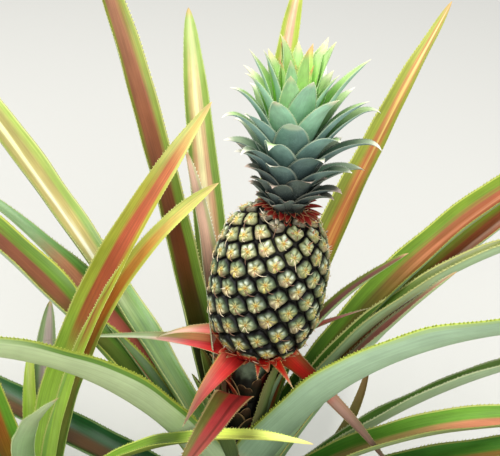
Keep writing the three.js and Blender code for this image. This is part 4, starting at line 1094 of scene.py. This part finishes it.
for t_, list_ in enumerate(members):
    for slot_i, r in enumerate(list_):
        az, along, elev, bend, sway, length, half = r[:7]
        row = (az % 360, along, elev, bend * 0.15, bend * 0.85, sway, length, half, rng.uniform(-4, 4), rng.uniform(-5, 5))
        c0 = slot_i / len(list_)
        tip_curl = float(rng.choice([0, 0, 25, 60])) if along < 40 else float(rng.choice([0, 0, 0, 20]))
        front = r[9] in (0, 4) and abs((az + 90 + 180) % 360 - 180) < 34
        blunt = r[9] == 4
        tip_curl = 0.0 if blunt else tip_curl
        row = (*row[:7], row[7] * 1.10, *row[8:])
        add_blade(tiers[t_], row, (0, 0), 15 * (1 - 0.72 * np.clip(along, 0, 84) / 84), n=30, nt=11, outline=blunt_outline if blunt else crown_outline,
                  gutter=0.5 if blunt else (0.85 if front else 0.95), loss=0.45 if blunt else (0.6 if front else 0.3),
                  thick=1.9, teeth=(2.8, 0.6, 1.2), seed=300 + len(crown_rows) * t_ + slot_i, wave=0.5, clasp=0.05, clasp_to=0.2,
                  chart=(c0, c0 + 1 / len(list_)), turn=C_TURN, base=CROWN_BASE, curl=tip_curl,
                  extra={"rnd": float(rng.uniform()), "rank": 9.0 if blunt else float(np.clip(along / 80, 0, 1))})
# crown leaf colours by tier, low to high: the dark base and under0 feet are painted shade in the axils; the lower tiers
# are darker overall, partly the older leaves' own colour and partly painted shade
TIER = [
    dict(base=(16, 22, 18), mid=(58, 76, 68), tip=(120, 118, 104), under0=(22, 28, 26), under1=(100, 114, 110), edge=(150, 150, 132), dry=(222, 196, 180)),
    dict(base=(18, 34, 24), mid=(78, 108, 86), tip=(144, 160, 128), under0=(30, 44, 40), under1=(118, 146, 142), edge=(176, 186, 164), dry=(240, 232, 216)),
    dict(base=(20, 48, 26), mid=(104, 154, 92), tip=(176, 204, 140), under0=(52, 82, 72), under1=(146, 184, 174), edge=(206, 220, 190), dry=(246, 242, 224)),
    dict(base=(52, 116, 40), mid=(144, 210, 94), tip=(196, 222, 150), under0=(110, 160, 128), under1=(168, 212, 182), edge=(216, 232, 190), dry=(246, 240, 208)),
    dict(base=(96, 176, 50), mid=(166, 234, 88), tip=(190, 222, 150), under0=(138, 200, 104), under1=(176, 220, 166), edge=(222, 236, 176), dry=(240, 228, 180)),
    dict(base=(130, 200, 60), mid=(172, 236, 96), tip=(190, 218, 124), under0=(160, 220, 90), under1=(180, 224, 130), edge=(226, 230, 154), dry=(232, 180, 120)),
]
for t_, b in enumerate(tiers):
    p_ = TIER[t_]
    m = Mat(f"mat_crown_{t_ + 1}", specular=0.28)
    across, along, under, rn = m.attr("across"), m.attr("along"), m.attr("under"), m.attr("rnd")
    x = m.math("MULTIPLY", across, 13.0)
    y = m.math("MULTIPLY", along, 100.0)
    z = m.math("MULTIPLY", rn, 57.0)
    fine = m.noise(m.xyz(m.math("MULTIPLY", x, 0.9), m.math("MULTIPLY", y, 0.03), z), 1.0, 2.0, 0.6)
    cloud = m.noise(m.xyz(m.math("MULTIPLY", x, 0.10), m.math("MULTIPLY", y, 0.06), z), 1.0, 3.0, 0.6)
    fleck = m.noise(m.xyz(m.math("MULTIPLY", x, 0.9), m.math("MULTIPLY", y, 0.5), z), 1.0, 2.0, 0.6)
    # dark at the foot of each leaf: painted shade in the axil
    top = m.ramp(along, [(0.02, lin(p_["base"])), (0.42, lin(p_["mid"])), (0.93, lin(p_["tip"]))])
    top = m.scale(top, m.smooth(fine, 0.25, 0.75, 0.88, 1.10))
    low = m.ramp(along, [(0.10, lin(p_["under0"])), (0.75, lin(p_["under1"]))])
    low = m.scale(low, m.smooth(fine, 0.25, 0.75, 0.93, 1.05))
    low = m.mix(m.smooth(fleck, 0.5, 0.8, 0.0, 0.25), low, lin((200, 214, 204)))
    c = m.mix(m.smooth(under, 0.35, 0.65), top, low)
    c = m.scale(c, m.smooth(cloud, 0.3, 0.7, 0.84, 1.10))
    c = m.scale(c, m.smooth(rn, 0.0, 1.0, 0.90, 1.08))
    c = m.mix(m.smooth(m.math("ABSOLUTE", across), 0.86, 0.97, 0.0, 0.8), c, lin(p_["edge"]))
    c = m.mix(m.smooth(m.math("ADD", along, m.math("MULTIPLY", m.math("SUBTRACT", rn, 0.5), 0.10)), 0.84, 0.985, 0.0, 0.95), c, lin(p_["dry"]))
    c = m.mix(m.math("MULTIPLY", m.smooth(m.attr("rank"), 5.0, 6.0), m.smooth(m.math("ADD", along, m.math("MULTIPLY", cloud, 0.05)), 0.78, 0.86, 0.0, 0.9)), c, lin((214, 230, 206)))
    m.colour(c)
    m.rough(m.math("ADD", 0.5, m.math("MULTIPLY", m.math("SUBTRACT", fine, 0.5), 0.15)))
    m.bump(fine, 0.18, 0.0005)
    ob = b.object(f"crown_leaves_{t_ + 1}", m.m)
    finish_piece(ob, "crown" if t_ < 4 else "crown_heart", f"crown_tier_{t_ + 1}")

# crown core that the leaves grow on; its near-black colour is painted shade between the leaves
def lathe(b, base, turn, prof, na=32, bumps=None):
    prof = np.asarray(prof, float)
    ang = np.linspace(0, 2 * np.pi, na, endpoint=False)
    r = prof[:, 0][:, None] * np.ones(na)[None]
    if bumps is not None:
        r = r + bumps(ang[None], prof[:, 1][:, None])
    p = np.stack([r * np.cos(ang)[None], r * np.sin(ang)[None], prof[:, 1][:, None] * np.ones(na)[None]], -1)
    p = p @ turn.T + base
    first = b.verts(p)
    n_ = len(prof)
    i, j = np.meshgrid(np.arange(n_ - 1), np.arange(na), indexing="ij")
    i, j = i.ravel(), j.ravel()
    j2 = (j + 1) % na
    V = lambda a, c_: first + a * na + c_
    uvq = lambda a, c_: np.stack([0.01 + 0.98 * c_ / na, 0.03 + 0.94 * a / (n_ - 1)], -1)
    b.quads(np.stack([V(i, j), V(i, j2), V(i + 1, j2), V(i + 1, j)], -1),
            np.stack([uvq(i, j), uvq(i, j + 1), uvq(i + 1, j + 1), uvq(i + 1, j)], 1))
    for row_, rev in ((0, True), (n_ - 1, False)):
        cc = b.verts(p[row_].mean(0)[None])
        for c_ in range(na):
            tri = [cc, V(row_, c_), V(row_, (c_ + 1) % na)]
            if rev:
                tri = tri[::-1]
            vv = 0.005 if rev else 0.98
            b.tris([tri], [[(0.01 + 0.98 * c_ / na, vv), (0.01 + 0.98 * (c_ + 1) / na, vv), (0.01 + 0.98 * (c_ + 0.5) / na, vv + 0.015)]])


b = Build(names=("rnd",))
zz = np.linspace(-4, 82, 30)
lathe(b, CROWN_BASE, C_TURN, np.stack([17 * (1 - 0.75 * np.clip(zz, 0, 84) / 84) + 0.5, zz], -1))
m = Mat("mat_crown_core", specular=0.3)
n1 = m.noise(m.coords(), 200.0, 3.0)
# near-black: painted shade seen between the crown leaves
m.colour(m.mix(n1, lin((14, 18, 12)), lin((40, 44, 28))))
m.rough(0.7)
m.bump(n1, 0.3, 0.001)
ob = b.object("crown_core", m.m)
finish_piece(ob, "crown")


# --------------------------------------------------- small bracts, two rings
def small_bracts(name, count, base, turn, radius, height, elev, length, half, palette, seed0, spread=(0, 360), down=20):
    b = Build(names=("across", "along", "under", "rnd"))
    rng = np.random.default_rng(seed0)
    for i in range(count):
        az = spread[0] + (spread[1] - spread[0]) * (i + rng.uniform(-0.3, 0.3)) / count
        ln = length * rng.uniform(0.65, 1.35)
        row = (az % 360, height + rng.uniform(-2.0, 2.0), elev + rng.uniform(-16, 16), down * 0.4, down * 0.6, rng.uniform(-12, 12),
               ln, half * rng.uniform(0.75, 1.2), rng.uniform(-14, 14), 0)
        add_blade(b, row, (0, 0), radius * rng.uniform(0.95, 1.05), n=14, nt=7, outline=short_outline, gutter=0.8, loss=0.1, thick=0.9,
                  seed=seed0 * 10 + i, wave=0.3, clasp=0.2, chart=(i / count, (i + 1) / count), turn=turn, base=base,
                  extra={"rnd": float(rng.uniform())})
    m = Mat("mat_" + name, specular=0.15)
    across, along, under, rn = m.attr("across"), m.attr("along"), m.attr("under"), m.attr("rnd")
    z = m.math("MULTIPLY", rn, 57.0)
    fine = m.noise(m.xyz(m.math("MULTIPLY", across, 5.0), m.math("MULTIPLY", along, 2.0), z), 1.0, 2.0, 0.6)
    c = m.ramp(along, [(p, lin(q)) for p, q in palette])
    c = m.mix(m.smooth(rn, 0.5, 1.0, 0.0, 0.55), c, lin((150, 40, 34)))
    c = m.scale(c, m.smooth(fine, 0.25, 0.75, 0.75, 1.15))
    c = m.mix(m.smooth(m.math("ABSOLUTE", across), 0.75, 0.97, 0.0, 0.5), c, lin((232, 190, 130)))
    m.colour(c)
    m.rough(0.55)
    m.bump(fine, 0.2, 0.0005)
    ob = b.object(name, m.m)
    finish_piece(ob, "bract")
    return ob


F_TURN = turn_to(axis)
RED = [(0.0, (160, 10, 6)), (0.4, (206, 28, 18)), (0.75, (206, 84, 56)), (1.0, (206, 170, 120))]
DEEP_RED = [(0.0, (90, 8, 8)), (0.45, (150, 22, 18)), (0.8, (180, 60, 40)), (1.0, (196, 150, 104))]
small_bracts("base_bracts_1", 26, FRUIT_BASE, F_TURN, 31, 2.0, 40, 19, 6.8, DEEP_RED, 41, down=-20)
small_bracts("base_bracts_3", 22, FRUIT_BASE, F_TURN, 26, 3.0, 16, 16, 6.4, RED, 45, down=10)
small_bracts("base_bracts_2", 15, FRUIT_BASE, F_TURN, 15, -2.5, -4, 17, 6.0, RED, 43, down=20)
NECK_TURN = turn_to(np.array([0.20, -0.03, 0.979]) / np.linalg.norm([0.20, -0.03, 0.979]))
NECK_RED = [(0.0, (70, 8, 8)), (0.5, (124, 20, 18)), (0.85, (150, 56, 44)), (1.0, (196, 150, 116))]
small_bracts("neck_bracts_1", 30, CROWN_BASE + np.array([2.0, 0.0, -1.0]), NECK_TURN, 14, 0.0, 14, 17, 4.8, NECK_RED, 47, down=24)
small_bracts("neck_bracts_2", 26, CROWN_BASE + np.array([3.0, 0.0, -1.0]), NECK_TURN, 13, -3.5, 0, 15, 4.6, NECK_RED, 53, down=4)


# ------------------------------------------------------------- stems, stalk
def sweep(b, points, radii, na=28, ns=60, bumps=None):
    pts = np.asarray(points, float)
    d = np.concatenate([[0], np.cumsum(np.linalg.norm(np.diff(pts, axis=0), axis=1))])
    u = np.linspace(0, 1, ns + 1)
    # smooth curve: dense linear path, then a running mean
    dense = np.stack([np.interp(np.linspace(0, d[-1], 400), d, pts[:, m]) for m in range(3)], -1)
    ker = np.hanning(61)
    ker /= ker.sum()
    sm = np.stack([np.convolve(np.pad(dense[:, m], 30, mode="reflect", reflect_type="odd"), ker, mode="valid") for m in range(3)], -1)
    p = np.stack([np.interp(u, np.linspace(0, 1, 400), sm[:, m]) for m in range(3)], -1)
    t = np.gradient(p, axis=0)
    t /= np.linalg.norm(t, axis=1)[:, None]
    x = np.cross(t, [0.05, 1.0, 0.02])
    x /= np.linalg.norm(x, axis=1)[:, None]
    y = np.cross(t, x)
    ang = np.linspace(0, 2 * np.pi, na, endpoint=False)
    r = np.interp(u, np.linspace(0, 1, len(radii)), radii)[:, None] * np.ones(na)[None]
    if bumps is not None:
        r = r + bumps(ang[None], u[:, None])
    q = p[:, None] + r[..., None] * (np.cos(ang)[None, :, None] * x[:, None] + np.sin(ang)[None, :, None] * y[:, None])
    first = b.verts(q)
    i, j = np.meshgrid(np.arange(ns), np.arange(na), indexing="ij")
    i, j = i.ravel(), j.ravel()
    j2 = (j + 1) % na
    V = lambda a, c_: first + a * na + c_
    uvq = lambda a, c_: np.stack([0.01 + 0.98 * c_ / na, 0.03 + 0.94 * a / ns], -1)
    b.quads(np.stack([V(i, j), V(i, j2), V(i + 1, j2), V(i + 1, j)], -1),
            np.stack([uvq(i, j), uvq(i, j + 1), uvq(i + 1, j + 1), uvq(i + 1, j)], 1))
    for row_, rev in ((0, True), (ns, False)):
        cc = b.verts(q[row_].mean(0)[None])
        for c_ in range(na):
            tri = [cc, V(row_, c_), V(row_, (c_ + 1) % na)]
            if rev:
                tri = tri[::-1]
            vv = 0.005 if rev else 0.98
            b.tris([tri], [[(0.01 + 0.98 * c_ / na, vv), (0.01 + 0.98 * (c_ + 1) / na, vv), (0.01 + 0.98 * (c_ + 0.5) / na, vv + 0.015)]])
    return p, t


b = Build(names=("rnd",))
sweep(b, [(0, 0, 176), (3, 0, 222), (10, 0, 262), (19, 0, 305)], [15, 14.2, 14.5, 17],
      bumps=lambda a, u: 0.5 * np.sin(11 * a + 3 * u) + 0.35 * np.sin(5 * a - 6 * u))
m = Mat("mat_stalk", specular=0.35)
co = m.coords()
n1 = m.noise(co, 160.0, 3.0)
split = m.t.nodes.new("ShaderNodeSeparateXYZ")
m.t.links.new(co, split.inputs[0])
# painted shade: up to about 0.28 m the stalk is near-black, the shade deep in the rosette; above it the stalk keeps its
# own grey-green
high = m.smooth(m.math("ADD", split.outputs[2], m.math("MULTIPLY", n1, 0.012)), 0.278, 0.292)
m.colour(m.mix(high, m.mix(n1, lin((8, 8, 5)), lin((30, 28, 18))), m.mix(n1, lin((66, 80, 62)), lin((128, 142, 116)))))
m.rough(0.6)
m.bump(n1, 0.3, 0.001)
ob = b.object("stalk", m.m)
finish_piece(ob, "stalk", "peduncle")
STALK_RED = [(0.0, (120, 110, 60)), (0.35, (196, 60, 44)), (0.75, (214, 100, 70)), (1.0, (220, 180, 130))]
small_bracts("stalk_bracts", 6, np.array([8.0, 0.0, 244.0]), turn_to(np.array([0.16, 0, 0.987])), 12, 0, 66, 40, 8, STALK_RED, 59, spread=(20, 250), down=30)

# scales round the stalk: near-black at the foot as painted shade of the rosette, brown towards the tips
STALK_SHADED = [(0.0, (14, 14, 9)), (0.5, (32, 30, 18)), (0.85, (62, 44, 30)), (1.0, (104, 84, 60))]
small_bracts("stalk_scales", 16, np.array([3.0, 0.0, 212.0]), turn_to(np.array([0.16, 0, 0.987])), 14.0, 0, 80, 30, 10, STALK_SHADED, 61, down=10)
small_bracts("stalk_scales_top", 12, np.array([9.0, 0.0, 246.0]), turn_to(np.array([0.16, 0, 0.987])), 13.5, 0, 80, 26, 9, STALK_SHADED, 62, down=16)

# young upright leaves that stand close round the stalk, coloured dark green as painted shade in the heart of the
# rosette; the dry leaf among them keeps its own dry colour
b = Build(names=("across", "along", "under", "rnd"))
rng = np.random.default_rng(83)
DRY_LEAF = (30.4, 59.5, 22.0, -38.6, -24.3, 1.7, 231.1, 9.0, 10, 30)
INNER = [(-24, 80, 8, 150, 15), (22, 79, 10, 150, 15), (66, 78, 14, 150, 15), (112, 80, 10, 136, 15), (156, 82, 8, 126, 15), (197, 80, 12, 120, 15), (238, 76, 18, 86, 13)]
for i, (az, elev, bend, length, half) in enumerate(INNER):
    row = (az, 166 + rng.uniform(-4, 4), elev, bend * 0.4, bend * 0.6, rng.uniform(-6, 6), length, half, 0, 0)
    add_blade(b, row, (0, 0), 17, n=40, nt=11, gutter=1.2, loss=0.4, thick=2.2, teeth=(4.0, 1.0, 1.8), seed=900 + i, clasp=0.2,
              chart=(i / (len(INNER) + 1), (i + 1) / (len(INNER) + 1)), extra={"rnd": float(rng.uniform())})
add_blade(b, DRY_LEAF, (0, 0), 26, n=40, nt=11, gutter=1.3, loss=0.5, thick=1.6, teeth=(5.0, 0.8, 1.6), seed=920, clasp=0.2, wave=1.6,
          chart=(len(INNER) / (len(INNER) + 1), 1.0), extra={"rnd": 3.0})
m = Mat("mat_inner_leaves", specular=0.25)
across, along, under, rn = m.attr("across"), m.attr("along"), m.attr("under"), m.attr("rnd")
z = m.math("MULTIPLY", rn, 57.0)
fine = m.noise(m.xyz(m.math("MULTIPLY", across, 14.0), m.math("MULTIPLY", along, 2.0), z), 1.0, 2.0, 0.6)
# dark green, darkest at the foot: painted shade in the rosette heart
c = m.ramp(along, [(0.1, lin((30, 44, 14))), (0.5, lin((74, 92, 32))), (0.95, lin((120, 136, 60)))])
c = m.mix(m.smooth(m.math("ADD", across, m.math("MULTIPLY", m.math("SUBTRACT", fine, 0.5), 0.6)), -0.2, -0.8, 0.0, 0.7), c, lin((96, 44, 24)))
c = m.mix(m.math("MULTIPLY", under, 0.45), c, lin((120, 140, 90)))
c = m.mix(m.smooth(rn, 1.4, 1.8), c, m.ramp(along, [(0.3, lin((128, 100, 62))), (0.7, lin((110, 100, 50))), (0.95, lin((150, 118, 76)))]))
c = m.scale(c, m.smooth(fine, 0.25, 0.75, 0.8, 1.12))
c = m.mix(m.smooth(m.math("ABSOLUTE", across), 0.9, 0.97, 0.0, 0.7), c, lin((176, 180, 110)))
m.colour(c)
m.rough(0.5)
m.bump(fine, 0.2, 0.0005)
ob = b.object("inner_leaves", m.m)
finish_piece(ob, "leaf")

# main stem: leaf scars in rings, rough fibres, and the clasping dry leaf feet
STEM_PROFILE = np.array([(43, 0), (40, 6), (34, 22), (30, 60), (29, 120), (24, 165), (17, 182)], float)


def stem_radius(z):
    return np.interp(z, STEM_PROFILE[:, 1], STEM_PROFILE[:, 0])


b = Build(names=("rnd",))
zz = np.linspace(0, 182, 150)
ringed = np.stack([stem_radius(zz) - 0.8, zz], -1)
lathe(b, np.zeros(3), np.eye(3), ringed, na=90,
      bumps=lambda a, z: (0.9 * np.abs(np.sin(z / 5.2 + 0.5 * np.sin(a))) + 0.5 * np.sin(17 * a + z * 0.12) + 0.3 * np.sin(41 * a)) * smooth(z, 0.2, 6))
m = Mat("mat_stem", specular=0.25)
co = m.coords()
n1 = m.noise(co, 60.0, 4.0)
n2 = m.noise(co, 420.0, 3.0)
c = m.mix(n1, lin((72, 50, 30)), lin((150, 122, 84)))
c = m.scale(c, m.smooth(n2, 0.3, 0.7, 0.6, 1.15))
m.colour(c)
m.rough(0.85)
m.bump(n2, 0.5, 0.0015)
ob = b.object("stem_surface", m.m)
finish_piece(ob, "stem", "stem")

b = Build(names=("rnd",))
sweep(b, [(-30, 7, 24), (-90, 21, 21), (-150, 35, 22), (-198, 47, 30), (-226, 54, 56), (-232, 55, 94)], [17, 16, 15.5, 15, 14.5, 14],
      na=36, ns=90, bumps=lambda a, u: 0.9 * np.abs(np.sin(u * 52)) + 0.4 * np.sin(9 * a + 11 * u))
m = Mat("mat_shoot_stem", specular=0.25)
co = m.coords()
n1 = m.noise(co, 70.0, 4.0)
n2 = m.noise(co, 420.0, 3.0)
c = m.mix(n1, lin((96, 78, 44)), lin((160, 146, 92)))
c = m.scale(c, m.smooth(n2, 0.3, 0.7, 0.65, 1.12))
m.colour(c)
m.rough(0.8)
m.bump(n2, 0.5, 0.0012)
ob = b.object("shoot_stem_surface", m.m)
finish_piece(ob, "stem", "shoot_stem")


def dry_feet(name, count, place_, slot, colours, seed0):
    b = Build(names=("across", "along", "under", "rnd"))
    rng = np.random.default_rng(seed0)
    for i in range(count):
        row, origin, start = place_(i, rng)
        add_blade(b, row, origin, start, n=14, nt=9, outline=lambda u: (1 - u) ** 0.5 * (1 - 0.25 * u), gutter=1.1, loss=0.3, thick=1.1,
                  seed=seed0 * 7 + i, wave=1.0, clasp=0.1, chart=(i / count, (i + 1) / count), extra={"rnd": float(rng.uniform())})
    m = Mat("mat_" + name, specular=0.2)
    across, along, rn = m.attr("across"), m.attr("along"), m.attr("rnd")
    z = m.math("MULTIPLY", rn, 57.0)
    fine = m.noise(m.xyz(m.math("MULTIPLY", across, 11.0), m.math("MULTIPLY", along, 1.2), z), 1.0, 3.0, 0.6)
    c = m.ramp(along, [(p, lin(q)) for p, q in colours])
    c = m.scale(c, m.smooth(rn, 0.0, 1.0, 0.65, 1.15))
    c = m.scale(c, m.smooth(fine, 0.25, 0.75, 0.62, 1.15))
    m.colour(c)
    m.rough(0.8)
    m.bump(fine, 0.5, 0.001)
    ob = b.object(name, m.m)
    finish_piece(ob, slot)
    return ob


def on_stem(i, rng):
    z = 8 + 74 * (i / 42)
    az = i * GOLDEN % 360
    ln = rng.uniform(26, 54)
    return ((az, z, 70 - rng.uniform(0, 30), rng.uniform(0, 35), rng.uniform(0, 20), rng.uniform(-14, 14), ln, rng.uniform(12, 19), rng.uniform(-12, 12), 0),
            (0, 0), float(stem_radius(z)) - 3)


dry_feet("stem_husk", 42, on_stem, "stem", [(0.0, (96, 72, 44)), (0.5, (150, 122, 80)), (1.0, (196, 172, 124))], 61)


def on_shoot(i, rng):
    u = (i + 0.5) / 26
    path = np.array([(-60, 14, 22), (-120, 28, 21), (-170, 40, 24), (-210, 50, 40), (-230, 55, 66)], float)
    k = u * 3.99
    a = int(k)
    p = path[a] * (1 - k + a) + path[min(a + 1, 4)] * (k - a)
    up = rng.uniform(18, 60)
    az = i * GOLDEN
    out = 10
    return ((az % 360, max(9.0, p[2] - 2), up, rng.uniform(0, 20), 10, rng.uniform(-10, 10), rng.uniform(24, 44), rng.uniform(9, 14), 0, 0),
            (p[0], p[1]), out)


dry_feet("shoot_husk", 26, on_shoot, "stem", [(0.0, (110, 96, 56)), (0.5, (150, 140, 90)), (1.0, (180, 160, 110))], 67)

# ------------------------------------------------------------- floor, lights
fl = bpy.data.meshes.new("floor")
fl.from_pydata([(-9, -9, -0.0004), (9, -9, -0.0004), (9, 9, -0.0004), (-9, 9, -0.0004)], [], [(0, 1, 2, 3)])
floor = bpy.data.objects.new("floor", fl)
bpy.context.scene.collection.objects.link(floor)
m = Mat("mat_floor", specular=0.2)
m.colour(lin((196, 195, 190)))
m.rough(0.9)
fl.materials.append(m.m)


def area(name, loc, target, size, power, colour=(1, 1, 1)):
    d = bpy.data.lights.new(name, "AREA")
    d.shape = "SQUARE"
    d.size = size
    d.energy = power
    d.color = colour
    o = bpy.data.objects.new(name, d)
    bpy.context.scene.collection.objects.link(o)
    o.location = loc
    direction = Vector(target) - Vector(loc)
    o.rotation_euler = direction.to_track_quat("-Z", "Y").to_euler()
    return o


area("key", (-1.3, 0.2, 5.2), (0.0, 0.0, 0.35), 2.6, 330, (1.0, 0.99, 0.96))
area("front", (1.2, -5.2, 3.4), (0.0, 0.0, 0.30), 3.2, 240, (0.98, 0.99, 1.0))
world = bpy.data.worlds.new("world")
world.use_nodes = True
bg = world.node_tree.nodes["Background"]
bg.inputs[0].default_value = (0.93, 0.96, 1.0, 1.0)
bg.inputs[1].default_value = 0.50
bpy.context.scene.world = world
